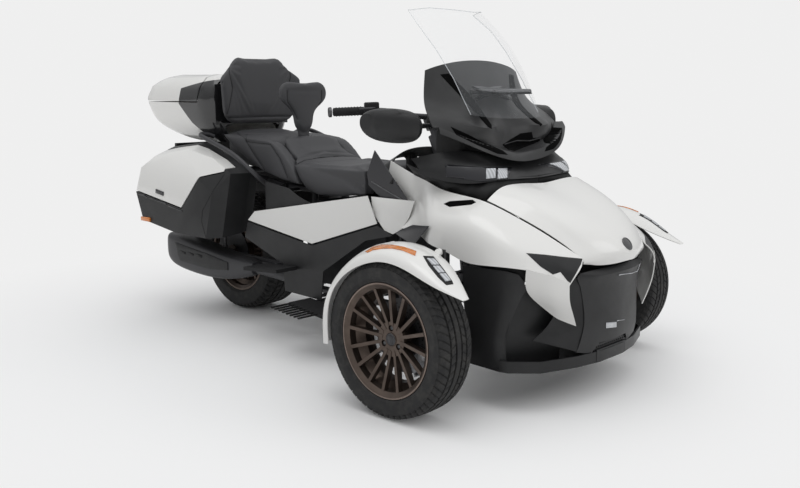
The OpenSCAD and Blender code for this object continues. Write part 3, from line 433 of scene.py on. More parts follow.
@dataclass(frozen=True)
class TwoTone(PearlPaint):
    """Pearl paint with a gloss black front part, parted by four planes across the top case."""

    dark: Colour = rgb(0.012, 0.012, 0.013)
    corners: Outline = ((-1675, 1187), (-1925, 1140), (-1947, 1063), (-1851, 968), (-1760, 900))

    def paint(self, shade: Shade) -> None:
        """Draws the finish on the shade."""
        x, z = shade.axis(0), shade.axis(2)
        front: Sock | None = None
        for (x0, z0), (x1, z1) in zip(self.corners, self.corners[1:]):
            start = at(x0, 0, z0)
            across, up = (x1 - x0) / 1000, (z1 - z0) / 1000
            inside = 1.0 - ((x - start.x) * up - (z - start.z) * across).over(0.0)
            front = front * inside if front else inside
        shade.set(Base_Color=shade.blend(front, self.with_flake_glints(shade, self.colour), self.dark),
                  Roughness=0.3 - front * 0.12 + shade.noise(40, 3) * 0.06, Coat_Roughness=0.04,
                  Coat_Weight=0.8)
        shade.bump(shade.noise(160, 1), 0.00003)


class Finishes:
    """The finishes of this vehicle."""

    pearl = PearlPaint("pearl_white", "white_panel", rgb(0.83, 0.825, 0.805))
    two_tone = TwoTone("two_tone_case", "white_panel", rgb(0.83, 0.825, 0.805))
    dark = MouldedPlastic("dark_moulding", "dark_panel", rgb(0.020, 0.0202, 0.0212), 0.42)
    satin = MouldedPlastic("satin_moulding", "dark_panel", rgb(0.030, 0.0302, 0.031), 0.34, 0.0, 1200, 0.0001)
    # painted shade: a near-black, dull finish laid in the vents, slots, groove and intake and under the crest, where
    # shade falls
    painted_shade = MouldedPlastic("painted_shade_dark", "dark_panel", rgb(0.0016, 0.0016, 0.0017), 0.9, 0.0, 900, 0.0002, 0.08)
    soft_dark = MouldedPlastic("dark_trim", "dark_panel", rgb(0.009, 0.009, 0.0095), 0.6, 0.0, 600, 0.0004)
    gloss = GlossBlack("gloss_black", "gloss_black", rgb(0.006, 0.006, 0.007), 0.1)
    badge = GlossBlack("badge_black", "gloss_black", rgb(0.02, 0.02, 0.021), 0.2)
    frame = Metal("frame_paint", "frame_paint", rgb(0.015, 0.015, 0.016), 0.42, 0.2)
    engine = Metal("engine_casting", "engine_metal", rgb(0.04, 0.04, 0.043), 0.55, 0.6, 500, 0.0003)
    alloy = Metal("alloy", "alloy", rgb(0.52, 0.53, 0.55), 0.34, 0.9)
    caliper = CaliperSplit("knuckle_casting", "alloy", rgb(0.02, 0.02, 0.021), 0.42, 0.2)
    bronze = Metal("wheel_bronze", "bronze_alloy", rgb(0.115, 0.088, 0.073), 0.34, 0.8, 800, 0.00003)
    bright_bronze = Metal("wheel_lip", "bronze_alloy", rgb(0.24, 0.19, 0.165), 0.26, 0.9, 800, 0.00002)
    steel = BrushedMetal("brushed_steel", "steel", rgb(0.42, 0.43, 0.45), 0.25, 1.0)
    dark_steel = BrushedMetal("disc_steel", "steel", rgb(0.13, 0.13, 0.135), 0.3, 1.0)
    crest = Metal("grey_crest", "dark_panel", rgb(0.16, 0.162, 0.168), 0.3, 0.6, 400, 0.00002)
    chrome = Metal("bright_trim", "steel", rgb(0.55, 0.56, 0.58), 0.2, 1.0, 200, 0.00001)
    spring = Metal("spring_paint", "frame_paint", rgb(0.03, 0.03, 0.032), 0.3, 0.4, 300, 0.00002)
    tyre = TyreRubber("tyre_rubber", "tyre", rgb(0.012, 0.012, 0.0125))
    rubber = MouldedPlastic("grip_rubber", "rubber", rgb(0.012, 0.012, 0.013), 0.7, 0.0, 500, 0.0005)
    cover = SeatCover("seat_cover", "seat_cover", rgb(0.0095, 0.0095, 0.0098))
    thread = MouldedPlastic("seat_thread", "seat_cover", rgb(0.05, 0.05, 0.055), 0.6, 0.0, 2500, 0.0001)
    pane = ClearPane("clear_pane", "clear", rgb(0.8, 0.83, 0.86), 0.03, 0.0, 0.025)
    # painted highlight: a pale, half-clear finish for the screen's edge
    lens = ClearPane("pale_edge_highlight", "clear", rgb(0.8, 0.83, 0.86), 0.04, 0.0, 0.4)
    smoked = ClearPane("smoked_lens", "clear", rgb(0.03, 0.03, 0.033), 0.05, 0.0, 0.8)
    lamp_white = Lamp("lamp_white", "clear", rgb(0.62, 0.64, 0.67), 0.1)
    lamp_red = Lamp("lamp_red", "red_lens", rgb(0.45, 0.015, 0.015), 0.1)
    lamp_amber = Lamp("lamp_amber", "clear", rgb(0.85, 0.25, 0.02), 0.1, ribs=900)
    mirror = Metal("mirror_face", "steel", rgb(0.8, 0.82, 0.84), 0.03, 1.0, 5, 0.0)
    screen = GlossBlack("display_face", "gloss_black", rgb(0.01, 0.012, 0.016), 0.06)


# Meshes


class Shaping(Enum):
    """How a copy of a solid is finished."""

    SMOOTH = "smooth"
    EDGED = "edged"


def linked(name: str, data: bpy.types.ID | None) -> bpy.types.Object:
    """Returns a new object with that data, linked to the scene."""
    made = bpy.data.objects.new(name, data)
    bpy.context.scene.collection.objects.link(made)
    return made


def new_piece(name: str, bm: bmesh.types.BMesh, body: str, finish: Finish) -> bpy.types.Object:
    """Turns a bmesh into a piece that rides on a body, smooth where its faces meet at a small angle.

    Args:
        name: The piece's name.
        bm: Its mesh, which is freed.
        body: The body that it rides on.
        finish: Its finish.

    Returns:
        The piece's object.
    """
    mesh = bpy.data.meshes.new(name)
    for face in bm.faces:
        face.smooth = True
    for edge in bm.edges:
        edge.smooth = len(edge.link_faces) != 2 or edge.calc_face_angle(0) < SMOOTH_LIMIT
    bm.to_mesh(mesh)
    bm.free()
    mesh.materials.append(finish.build())
    piece = linked(name, mesh)
    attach(piece, body)
    return piece


def modifier(piece: bpy.types.Object, kind: str, **settings: object) -> bpy.types.Modifier:
    """Adds a modifier to a piece and returns it."""
    made = piece.modifiers.new(kind.lower(), kind)
    for key, value in settings.items():
        setattr(made, key, value)
    return made


def subdivided(piece: bpy.types.Object, levels: int) -> bpy.types.Object:
    """Adds subdivision of that many levels and returns the piece."""
    modifier(piece, "SUBSURF", levels=levels, render_levels=levels)
    return piece


def bevelled(piece: bpy.types.Object, width: float, angle: float) -> bpy.types.Object:
    """Rounds a piece's edges that are sharper than the angle in degrees, and returns it."""
    modifier(piece, "BEVEL", width=width, segments=2, limit_method="ANGLE", angle_limit=math.radians(angle),
             harden_normals=False)
    return piece


def body_of_node(node: str) -> str:
    """Returns the body that holds a solid."""
    return frame["nodes"][node]["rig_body"]


def solid_copy(node: str, join: bool) -> bmesh.types.BMesh:
    """Copies a solid's mesh.

    Args:
        node: The solid's name.
        join: Whether its triangles are joined to four-sided faces.

    Returns:
        The copy, with its doubles merged.
    """
    bm = bmesh.new()
    bm.from_mesh(frame["nodes"][node].data)
    bmesh.ops.remove_doubles(bm, verts=bm.verts, dist=MERGE)
    bmesh.ops.dissolve_degenerate(bm, edges=bm.edges, dist=MERGE)
    if join:
        bmesh.ops.join_triangles(bm, faces=bm.faces, angle_face_threshold=SMOOTH_LIMIT,
                                 angle_shape_threshold=SQUARE_LIMIT)
    return bm


def creased(bm: bmesh.types.BMesh, angle: float) -> bmesh.types.BMesh:
    """Creases a mesh's edges that are sharper than the angle in degrees, and returns it."""
    layer = bm.edges.layers.float.get("crease_edge") or bm.edges.layers.float.new("crease_edge")
    for edge in bm.edges:
        if len(edge.link_faces) != 2 or edge.calc_face_angle(0) > math.radians(angle):
            edge[layer] = 1.0
    return bm


def stand_in(node: str, finish: Finish, shaping: Shaping, crease: float = 40, levels: int = 2) -> bpy.types.Object:
    """Shows a smoother copy of a solid in its place.

    Args:
        node: The solid's name.
        finish: Its finish.
        shaping: How the copy is finished.
        crease: The angle in degrees past which a smooth copy keeps its edges.
        levels: The levels of subdivision of a smooth copy.

    Returns:
        The copy's object.
    """
    if shaping is Shaping.SMOOTH:
        piece = new_piece(node + "_skin", creased(solid_copy(node, True), crease), body_of_node(node), finish)
        subdivided(piece, levels)
    else:
        bm = solid_copy(node, False)
        bmesh.ops.dissolve_limit(bm, angle_limit=math.radians(1), verts=bm.verts, edges=bm.edges)
        piece = new_piece(node + "_skin", bm, body_of_node(node), finish)
        bevelled(piece, 0.0012, 35)
    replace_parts(piece, node)
    return piece


def dressed(node: str, finish: Finish) -> None:
    """Gives a solid that stays in view its finish."""
    materials = frame["nodes"][node].data.materials
    materials.clear()
    materials.append(finish.build())


def mirrored(bm: bmesh.types.BMesh) -> bmesh.types.BMesh:
    """Turns a right-hand mesh into its left-hand twin, and returns it."""
    bmesh.ops.scale(bm, vec=(1, -1, 1), verts=bm.verts)
    bmesh.ops.reverse_faces(bm, faces=bm.faces)
    return bm


def placed(name: str, build: Callable[[], bmesh.types.BMesh], bodies: Bodies, finish: Finish,
           after: Callable[[bpy.types.Object], object] | None = None) -> list[bpy.types.Object]:
    """Makes a piece on one body, or on both sides.

    Args:
        name: The piece's name, without its side.
        build: Makes the mesh, which is the right-hand one of a pair.
        bodies: The body of a single piece, or the right and left bodies of a pair.
        finish: The finish.
        after: Finishes each object, for example with modifiers.

    Returns:
        The single object, or the right and left objects.
    """
    if isinstance(bodies, str):
        made = [new_piece(name, build(), bodies, finish)]
    else:
        made = [new_piece(name + "_right", build(), bodies[0], finish),
                new_piece(name + "_left", mirrored(build()), bodies[1], finish)]
    for piece in made:
        if after:
            after(piece)
    return made


def turned_round_y(profile: Profile, steps: int, centre: Vector) -> bmesh.types.BMesh:
    """Spins a closed profile round a line along Y.

    Args:
        profile: Points as (radius, distance outwards on the right side).
        steps: Steps round the circle.
        centre: The circle's centre.

    Returns:
        The ring's mesh.
    """
    bm = bmesh.new()
    verts = [bm.verts.new(centre + Vector((r, -out, 0))) for r, out in profile]
    edges = [bm.edges.new(pair) for pair in zip(verts, verts[1:] + verts[:1])]
    bmesh.ops.spin(bm, geom=verts + edges, cent=centre, axis=(0, 1, 0), angle=math.tau, steps=steps,
                   use_merge=True)
    bmesh.ops.remove_doubles(bm, verts=bm.verts, dist=1e-6)
    bmesh.ops.recalc_face_normals(bm, faces=bm.faces)
    return bm


def facing(spot: Vector, way: Vector) -> Matrix:
    """Returns the matrix that moves the origin to the spot and turns Z into the way."""
    return Matrix.Translation(spot) @ way.to_track_quat("Z", "Y").to_matrix().to_4x4()


def pegged(bm: bmesh.types.BMesh, start: Vector, end: Vector, radius: float, segments: int) -> None:
    """Adds a round peg between two points."""
    way = end - start
    bmesh.ops.create_cone(bm, cap_ends=True, segments=segments, radius1=radius, radius2=radius,
                          depth=way.length, matrix=facing((start + end) / 2, way))


def boxed(bm: bmesh.types.BMesh, low: Vector, high: Vector) -> None:
    """Adds a box between two corners."""
    place = Matrix.Translation((low + high) / 2)
    bmesh.ops.create_cube(bm, size=1, matrix=place @ Matrix.Diagonal((*(high - low), 1)))


def edge_bevelled(bm: bmesh.types.BMesh, width: float, segments: int = 2) -> bmesh.types.BMesh:
    """Rounds the edges of a whole mesh that are sharper than 30 degrees, and returns it."""
    sharp = [e for e in bm.edges if len(e.link_faces) == 2 and e.calc_face_angle(0) > math.radians(30)]
    bmesh.ops.bevel(bm, geom=sharp, offset=width, offset_type="OFFSET", segments=segments, profile=0.5,
                    affect="EDGES", material=-1, clamp_overlap=True)
    return bm


# Sight, skins and laid pieces


@dataclass(frozen=True)
class Sight:
    """The photograph's viewpoint, and its lines of sight through points of the picture."""

    place: tuple[float, float, float] = (3.08388, -2.98455, 1.15512)
    azimuth: float = 43.4113
    elevation: float = 9.7073
    lens: float = 41.774
    sensor: float = 36
    width: float = 800
    height: float = 488

    def back(self) -> Vector:
        """Returns the way from the vehicle to the viewpoint."""
        a, e = math.radians(self.azimuth), math.radians(self.elevation)
        return Vector((math.sin(a) * math.cos(e), -math.cos(a) * math.cos(e), math.sin(e)))

    def through(self, px: float, py: float) -> Vector:
        """Returns the way of the line of sight through a point of the picture."""
        a = math.radians(self.azimuth)
        right = Vector((math.cos(a), math.sin(a), 0))
        back = self.back()
        scale = self.sensor / self.width
        across = right * ((px - self.width / 2) * scale)
        upwards = back.cross(right) * ((self.height / 2 - py) * scale)
        return (across + upwards - back * self.lens).normalized()


SIGHT = Sight()


class Seen(Enum):
    """Where an outline is drawn from: the photograph in its points, or a side in millimetres."""

    PHOTO = "photo"
    RIGHT = "right"
    FRONT = "front"
    BEHIND = "behind"
    ABOVE = "above"

    def line(self, u: float, v: float) -> tuple[Vector, Vector]:
        """Returns the start and the way of the line of sight through a point of the drawing."""
        if self is Seen.PHOTO:
            return Vector(SIGHT.place), SIGHT.through(u, v)
        if self is Seen.RIGHT:
            return at(u, -3000, v), Vector((0, 1, 0))
        if self is Seen.FRONT:
            return at(3000, u, v), Vector((-1, 0, 0))
        if self is Seen.BEHIND:
            return at(-4000, u, v), Vector((1, 0, 0))
        return at(u, v, 3000), Vector((0, 0, -1))


class Skin:
    """The outside of some finished pieces, on which other pieces are laid."""

    def __init__(self, *pieces: bpy.types.Object) -> None:
        """Reads the pieces' finished meshes."""
        graph = bpy.context.evaluated_depsgraph_get()
        bm = bmesh.new()
        for piece in pieces:
            bm.from_object(piece, graph)
        self.tree = BVHTree.FromBMesh(bm)
        bm.free()

    def met(self, start: Vector, way: Vector, reach: float) -> tuple[Vector, Vector, float]:
        """Finds where a line meets the skin.

        Args:
            start: The line's start.
            way: Its way.
            reach: How far along to look for the nearest point, where the line misses.

        Returns:
            The point, the way out of the skin there, and how far along the line it lies.
        """
        point, normal, _, far = self.tree.ray_cast(start, way)
        if point is None:
            point, normal, _, _ = self.tree.find_nearest(start + way * reach)
            far = reach
        if normal.dot(way) > 0:
            normal = -normal
        return point, normal, far

    def run(self, line: Outline, seen: Seen, lift: float, step: float) -> list[Vector]:
        """Lays a drawn line on the skin.

        Args:
            line: Its corners.
            seen: Where it is drawn from.
            lift: How far it stands out of the skin.
            step: The drawn distance between its points.

        Returns:
            Its points.
        """
        marks = [line[0]]
        for (u0, v0), (u1, v1) in zip(line, line[1:]):
            count = max(1, round(math.hypot(u1 - u0, v1 - v0) / step))
            marks += [(u0 + (u1 - u0) * k / count, v0 + (v1 - v0) * k / count) for k in range(1, count + 1)]
        points, reach = [], LINE_REACH
        for u, v in marks:
            point, normal, reach = self.met(*seen.line(u, v), reach)
            points.append(point + normal * lift)
        return points


def net_over(outline: Outline, step: float) -> bmesh.types.BMesh:
    """Returns a flat net of small faces that fills an outline."""
    bm = bmesh.new()
    face = bm.faces.new([bm.verts.new((u, v, 0)) for u, v in outline])
    bmesh.ops.triangulate(bm, faces=[face])
    for axis in (0, 1):
        marks = [p[axis] for p in outline]
        for k in range(1, math.ceil((max(marks) - min(marks)) / step)):
            spot, way = Vector(), Vector()
            spot[axis] = min(marks) + k * step
            way[axis] = 1
            bmesh.ops.bisect_plane(bm, geom=bm.verts[:] + bm.edges[:] + bm.faces[:], dist=1e-4,
                                   plane_co=spot, plane_no=way)
    return bm


def turned_against(bm: bmesh.types.BMesh, way: Vector) -> bmesh.types.BMesh:
    """Turns a sheet's faces over where most of them look along the way, and returns it."""
    bm.normal_update()
    if sum(face.normal.dot(way) * face.calc_area() for face in bm.faces) > 0:
        bmesh.ops.reverse_faces(bm, faces=bm.faces)
    return bm


def over_skin(skin: Skin, outline: Outline, seen: Seen, lift: float, step: float) -> bmesh.types.BMesh:
    """Returns a net laid over the part of a skin that lies inside a drawn outline."""
    bm = net_over(outline, step)
    reach = LINE_REACH
    for vert in bm.verts:
        point, normal, reach = skin.met(*seen.line(vert.co.x, vert.co.y), reach)
        vert.co = point + normal * lift
    return turned_against(bm, seen.line(*outline[0])[1])


def laid(name: str, skin: Skin, outline: Outline, finish: Finish, bodies: Bodies, seen: Seen = Seen.PHOTO,
         lift: float = 0.0008, depth: float = 0.003, step: float = 3.0, round_off: float = 0.0) -> list[
             bpy.types.Object]:
    """Lays a thin plate on a skin.

    Args:
        name: The piece's name, without its side.
        skin: What it lies on.
        outline: Its drawn outline.
        finish: Its finish.
        bodies: The body of a single plate, or the right and left bodies of a pair.
        seen: Where the outline is drawn from.
        lift: How far its face stands out of the skin.
        depth: Its thickness, most of which is sunk in the skin.
        step: The drawn size of its faces.
        round_off: The width of its rounded edges.

    Returns:
        The plates' objects.
    """

    def build() -> bmesh.types.BMesh:
        """Returns the plate's outer face."""
        return over_skin(skin, outline, seen, lift, step)

    def thicken(piece: bpy.types.Object) -> None:
        """Gives the face its thickness."""
        modifier(piece, "SOLIDIFY", thickness=depth, offset=-1)
        if round_off:
            bevelled(piece, round_off, 50)

    return placed(name, build, bodies, finish, thicken)


def tubed(bm: bmesh.types.BMesh, path: Sequence[Vector], radius: float, segments: int = 8) -> bmesh.types.BMesh:
    """Adds a round bar along a path, and returns the mesh."""
    ways = [(b - a).normalized() for a, b in zip(path, path[1:])]
    ways = [ways[0]] + [(a + b).normalized() for a, b in zip(ways, ways[1:])] + [ways[-1]]
    turn = ways[0].to_track_quat("Z", "Y")
    before = facing(path[0], ways[0])
    made = bmesh.ops.create_circle(bm, cap_ends=True, segments=segments, radius=radius, matrix=before)
    face = made["verts"][0].link_faces[0]
    for spot, old, way in zip(path[1:], ways, ways[1:]):
        turn = old.rotation_difference(way) @ turn
        place = Matrix.Translation(spot) @ turn.to_matrix().to_4x4()
        grown = bmesh.ops.extrude_face_region(bm, geom=[face])["geom"]
        face = next(g for g in grown if isinstance(g, bmesh.types.BMFace))
        bmesh.ops.transform(bm, matrix=place @ before.inverted(), verts=face.verts)
        before = place
    return bm


def bar(name: str, path: Sequence[Vector], radius: float, finish: Finish, bodies: Bodies,
        segments: int = 8) -> list[bpy.types.Object]:
    """Makes a round bar along a path, on one body or on both sides, and returns its objects."""

    def build() -> bmesh.types.BMesh:
        """Returns the bar's mesh."""
        bm = tubed(bmesh.new(), path, radius, segments)
        bmesh.ops.recalc_face_normals(bm, faces=bm.faces)
        return bm

    return placed(name, build, bodies, finish)


def knob(bm: bmesh.types.BMesh, spot: Vector, way: Vector, profile: Profile,
         steps: int = 32) -> bmesh.types.BMesh:
    """Adds a turned knob.

    Args:
        bm: The mesh that takes it.
        spot: The middle of its foot.
        way: Its axis.
        profile: Points as (radius, height), from the middle of the foot to the middle of the top.
        steps: Steps round it.

    Returns:
        The mesh.
    """
    before = set(bm.verts)
    verts = [bm.verts.new((r, 0, h)) for r, h in profile]
    edges = [bm.edges.new(pair) for pair in zip(verts, verts[1:])]
    bmesh.ops.spin(bm, geom=verts + edges, cent=(0, 0, 0), axis=(0, 0, 1), angle=math.tau, steps=steps,
                   use_merge=True)
    made = [vert for vert in bm.verts if vert not in before]
    bmesh.ops.transform(bm, matrix=facing(spot, way), verts=made)
    bmesh.ops.remove_doubles(bm, verts=made, dist=1e-6)
    bmesh.ops.recalc_face_normals(bm, faces=bm.faces)
    return bm


def box_piece(name: str, low: Vector, high: Vector, finish: Finish, bodies: Bodies,
              edge: float = 0.002) -> list[bpy.types.Object]:
    """Makes a block with rounded edges, on one body or on both sides, and returns its objects."""

    def build() -> bmesh.types.BMesh:
        """Returns the block's mesh."""
        bm = bmesh.new()
        boxed(bm, low, high)
        return edge_bevelled(bm, edge, 3)

    return placed(name, build, bodies, finish)


def strip_between(low: Sequence[Vector], high: Sequence[Vector]) -> bmesh.types.BMesh:
    """Returns a sheet between two edges with as many points, which faces away from the middle of the vehicle."""
    bm = bmesh.new()
    rows = [[bm.verts.new(p) for p in row] for row in (low, high)]
    edges = [bm.edges.new(pair) for row in rows for pair in zip(row, row[1:])]
    bmesh.ops.bridge_loops(bm, edges=edges)
    return turned_against(bm, Vector((0, 1, 0)))


def slab(outline: Sequence[Vector], way: Vector, edge: float) -> bmesh.types.BMesh:
    """Returns a flat block with rounded edges, from an outline and the way to its far face."""
    bm = bmesh.new()
    face = bm.faces.new([bm.verts.new(p) for p in outline])
    far = bmesh.ops.extrude_face_region(bm, geom=[face])["geom"]
    bmesh.ops.translate(bm, vec=way, verts=[g for g in far if isinstance(g, bmesh.types.BMVert)])
    bmesh.ops.recalc_face_normals(bm, faces=bm.faces)
    return edge_bevelled(bm, edge, 2)


# Wheels


@dataclass
class Tyre:
    """A tyre whose tread has ring grooves and slanted sipes."""

    centre: Vector
    radius: float
    width: float
    tread_half: float
    rings: tuple[float, ...]
    pitches: int = 60
    columns: tuple[float, ...] = (0.0, 0.035, 0.13, 0.165)
    depth: float = 0.0062
    groove_half: float = 0.0042
    groove_foot: float = 0.003
    round_down: float = 0.004
    sipe_depth: float = 0.0045
    sipe_clear: float = 0.0036
    lean: float = 2.6
    inner_lean: float = -0.8

    def crown(self, out: float) -> float:
        """Returns the tread's radius at that distance from the middle."""
        return self.radius - self.round_down * (out / self.tread_half) ** 2

    def rib(self, start: float, end: float) -> list[tuple[float, float]]:
        """Returns four points of the profile across a rib."""
        marks = [start + (end - start) * k / 3 for k in range(4)]
        return [(self.crown(out), out) for out in marks]

    def tread(self) -> list[tuple[float, float]]:
        """Returns the tread's profile from the left shoulder to the right."""
        points: list[tuple[float, float]] = []
        start = -self.tread_half
        for cut in sorted({side * ring for ring in self.rings for side in (-1, 1)}):
            points += self.rib(start, cut - self.groove_half)
            bottom = self.crown(cut) - self.depth
            points += [(bottom, cut - self.groove_foot), (bottom, cut + self.groove_foot)]
            start = cut + self.groove_half
        return points + self.rib(start, self.tread_half)

    def side(self) -> list[tuple[float, float]]:
        """Returns the right side's profile from the tread over the wall to the inside."""
        half, b, r = self.width / 2, BEAD_R, self.radius
        return [(r - 0.0075, self.tread_half + (half - self.tread_half) * 0.4), (r - 0.018, half - 0.0045),
                (r - 0.019, half - 0.0052), (r - 0.022, half - 0.0022), (r - 0.034, half - 0.0005),
                ((b + r) / 2 + 0.006, half), (b + 0.034, half - 0.0022), (b + 0.030, half - 0.0026),
                (b + 0.029, half - 0.004), (b + 0.026, half - 0.004), (b + 0.024, half - 0.0068),
                (b + 0.0185, half - 0.0095), (b + 0.0165, half - 0.0165), (b + 0.004, half - 0.0205),
                (b + 0.004, half - 0.032), (b + 0.02, half - 0.026), (b + 0.034, half - 0.0105),
                ((b + r) / 2 + 0.006, half - 0.0085), (r - 0.024, half - 0.012), (r - 0.014, half - 0.028),
                (r - 0.012, 0.0)]

    def carved(self, r: float, out: float, turn: float) -> tuple[float, float]:
        """Moves a point of the tread to its place in the pattern.

        Args:
            r: Its radius.
            out: How far it lies from the middle, on the right side.
            turn: Its angle, counted in columns.

        Returns:
            Its new radius and its new angle in radians.
        """
        per_pitch = len(self.columns)
        block, place = divmod(round(turn) % (self.pitches * per_pitch), per_pitch)
        outer = self.rings[-1]
        middle = out < outer
        angle = (block + self.columns[place] + (0.5 if middle else 0.0)) / self.pitches * math.tau
        angle += (out - outer) * self.lean * (self.inner_lean if middle else 1.0)
        ribbed = self.rings[0] + self.groove_foot < out < self.width / 2 - 0.003
        in_groove = middle and r < self.crown(min(out, self.tread_half)) - 0.004
        if place in (1, 2) and ribbed and not in_groove and abs(out - outer) >= self.sipe_clear:
            r -= self.sipe_depth
        return r, angle

    def mesh(self) -> bmesh.types.BMesh:
        """Returns the tyre's mesh."""
        right = self.side()
        steps = self.pitches * len(self.columns)
        bm = turned_round_y(self.tread() + right + [(r, -o) for r, o in reversed(right[:-1])], steps, self.centre)
        shoulder, wall = self.radius - 0.008, self.radius - 0.0225
        for vert in bm.verts:
            local = vert.co - self.centre
            r, out = math.hypot(local.x, local.z), abs(local.y)
            if r < wall or (out < self.tread_half - 0.006 and r < shoulder):
                continue
            r, angle = self.carved(r, out, math.atan2(local.z, local.x) / math.tau * steps)
            vert.co = self.centre + Vector((math.cos(angle) * r, local.y, math.sin(angle) * r))
        return bm


@dataclass
class FrontWheels:
    """Tyres, rims and brakes of the two steered wheels."""

    centre: Vector = field(default_factory=lambda: Vector((AXLE_X, -HALF_TRACK, HUB_Z)))
    hub_face: float = 0.036
    lug_ring: float = 0.040
    lug_foot: float = 0.0235
    lug_angles: tuple[float, ...] = (90, 210, 330)
    disc_faces: tuple[float, float] = (-0.0352, -0.0298)
    disc_rows: tuple[tuple[float, float], ...] = ((0.088, 0), (0.103, 3.3), (0.118, 6.6))
    disc_holes: int = 36
    lip_face: float = 0.0722

    def out(self, radius: float, angle: float, outwards: float) -> Vector:
        """Returns a point by its radius, its angle in degrees up from the front, and how far it lies outwards."""
        a = math.radians(angle)
        return self.centre + Vector((radius * math.cos(a), -outwards, radius * math.sin(a)))

    def build(self) -> None:
        """Makes and dresses the wheels."""
        tyre = Tyre(self.centre, FRONT_TYRE_R, 0.165, 0.064, (0.014, 0.040))
        for piece, side in zip(placed("front_tyre_tread", tyre.mesh, WHEELS, Finishes.tyre), SIDES):
            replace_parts(piece, "front_tyre_" + side)
            stand_in("front_rim_" + side, Finishes.bronze, Shaping.EDGED)
            dressed("front_disc_" + side, Finishes.dark_steel)
            stand_in("knuckle_" + side, Finishes.caliper, Shaping.EDGED)
        placed("wheel_cap", self.cap, WHEELS, Finishes.gloss)
        placed("cap_ring", self.cap_ring, WHEELS, Finishes.bronze)
        placed("lug_nuts", self.lugs, WHEELS, Finishes.dark_steel)
        # painted shade under the nuts, in their recesses
        placed("lug_recess_shade", self.seats, WHEELS, Finishes.soft_dark)
        placed("valve", self.valve, WHEELS, Finishes.rubber)
        # painted shade in the disc's drilled holes
        placed("disc_holes", self.holes, WHEELS, Finishes.soft_dark)
        placed("rim_flange", self.flange, WHEELS, Finishes.bright_bronze)
        placed("caliper_bolts", self.bolts, KNUCKLES, Finishes.dark_steel)
        placed("caliper_pistons", self.pistons, KNUCKLES, Finishes.alloy)

    def knobs(self, radius: float, angles: Sequence[float], outwards: float, profile: Profile,
              steps: int = 32) -> bmesh.types.BMesh:
        """Returns turned knobs that point outwards, at some angles on a circle round the axle."""
        bm = bmesh.new()
        for angle in angles:
            knob(bm, self.out(radius, angle, outwards), Vector((0, -1, 0)), profile, steps)
        return bm

    def cap(self) -> bmesh.types.BMesh:
        """Returns the domed cap in the hub."""
        return self.knobs(0, (0,), self.hub_face - 0.002,
                          [(0, 0), (0.0225, 0), (0.0225, 0.0035), (0.0205, 0.0055), (0.017, 0.0052),
                           (0.016, 0.0042), (0.009, 0.0058), (0, 0.0062)])

    def cap_ring(self) -> bmesh.types.BMesh:
        """Returns the raised ring round the cap."""
        foot = self.hub_face - 0.002
        return turned_round_y([(0.0228, foot), (0.0228, self.hub_face + 0.0022),
                               (0.0250, self.hub_face + 0.0026), (0.0268, foot)], 48, self.centre)

    def lugs(self) -> bmesh.types.BMesh:
        """Returns the three wheel nuts."""
        return self.knobs(self.lug_ring, self.lug_angles, self.lug_foot,
                          [(0, 0), (0.0078, 0), (0.0078, 0.008), (0.0066, 0.0094), (0.0042, 0.0094),
                           (0.0036, 0.0082), (0, 0.0082)], 6)

    def seats(self) -> bmesh.types.BMesh:
        """Returns dark discs under the nuts, painted shade in their recesses."""
        return self.knobs(self.lug_ring, self.lug_angles, self.lug_foot,
                          [(0, 0), (0.0106, 0), (0.0106, 0.0014), (0, 0.0014)], 24)

    def valve(self) -> bmesh.types.BMesh:
        """Returns the valve stem."""
        return knob(bmesh.new(), self.out(0.170, 62, 0.018), Vector((0.1, -1, 0.2)).normalized(),
                    [(0, 0), (0.005, 0), (0.0045, 0.012), (0.0032, 0.018), (0.004, 0.019), (0.004, 0.027),
                     (0, 0.028)], 12)

    def holes(self) -> bmesh.types.BMesh:
        """Returns dark pegs in the drilled disc's holes, painted shade for their bores."""
        bm = bmesh.new()
        inner, outer = self.disc_faces
        for k in range(self.disc_holes):
            for radius, shift in self.disc_rows:
                angle = k * 360 / self.disc_holes + shift
                pegged(bm, self.out(radius, angle, inner), self.out(radius, angle, outer), 0.0032, 8)
        return bm

    def flange(self) -> bmesh.types.BMesh:
        """Returns the bright machined lip of the rim."""
        foot = self.lip_face - 0.001
        return turned_round_y([(0.2005, foot), (0.2005, self.lip_face + 0.0004),
                               (0.2052, self.lip_face + 0.0006), (0.2058, foot)], 96, self.centre)

    def bolts(self) -> bmesh.types.BMesh:
        """Returns the caliper's bolts."""
        return self.knobs(0.142, (-21, -59), -0.0164,
                          [(0, 0), (0.006, 0), (0.006, 0.005), (0.005, 0.006), (0, 0.006)], 6)

    def pistons(self) -> bmesh.types.BMesh:
        """Returns the round bosses over the caliper's pistons."""
        return self.knobs(0.112, (-30, -50), -0.0168,
                          [(0, 0), (0.017, 0), (0.017, 0.003), (0.0145, 0.0052), (0.009, 0.0052),
                           (0.008, 0.004), (0, 0.004)])


@dataclass
class RearWheel:
    """Tyre, rim and brake of the driven wheel."""

    centre: Vector = field(default_factory=lambda: Vector((REAR_X, 0, REAR_Z)))

    def build(self) -> None:
        """Makes and dresses the wheel."""
        tyre = Tyre(self.centre, REAR_TYRE_R, 0.225, 0.090, (0.018, 0.056), lean=1.9)
        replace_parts(new_piece("rear_tyre_tread", tyre.mesh(), "rear_wheel", Finishes.tyre), "rear_tyre")
        stand_in("rear_rim", Finishes.bronze, Shaping.EDGED)
        dressed("rear_disc", Finishes.dark_steel)


# Panels


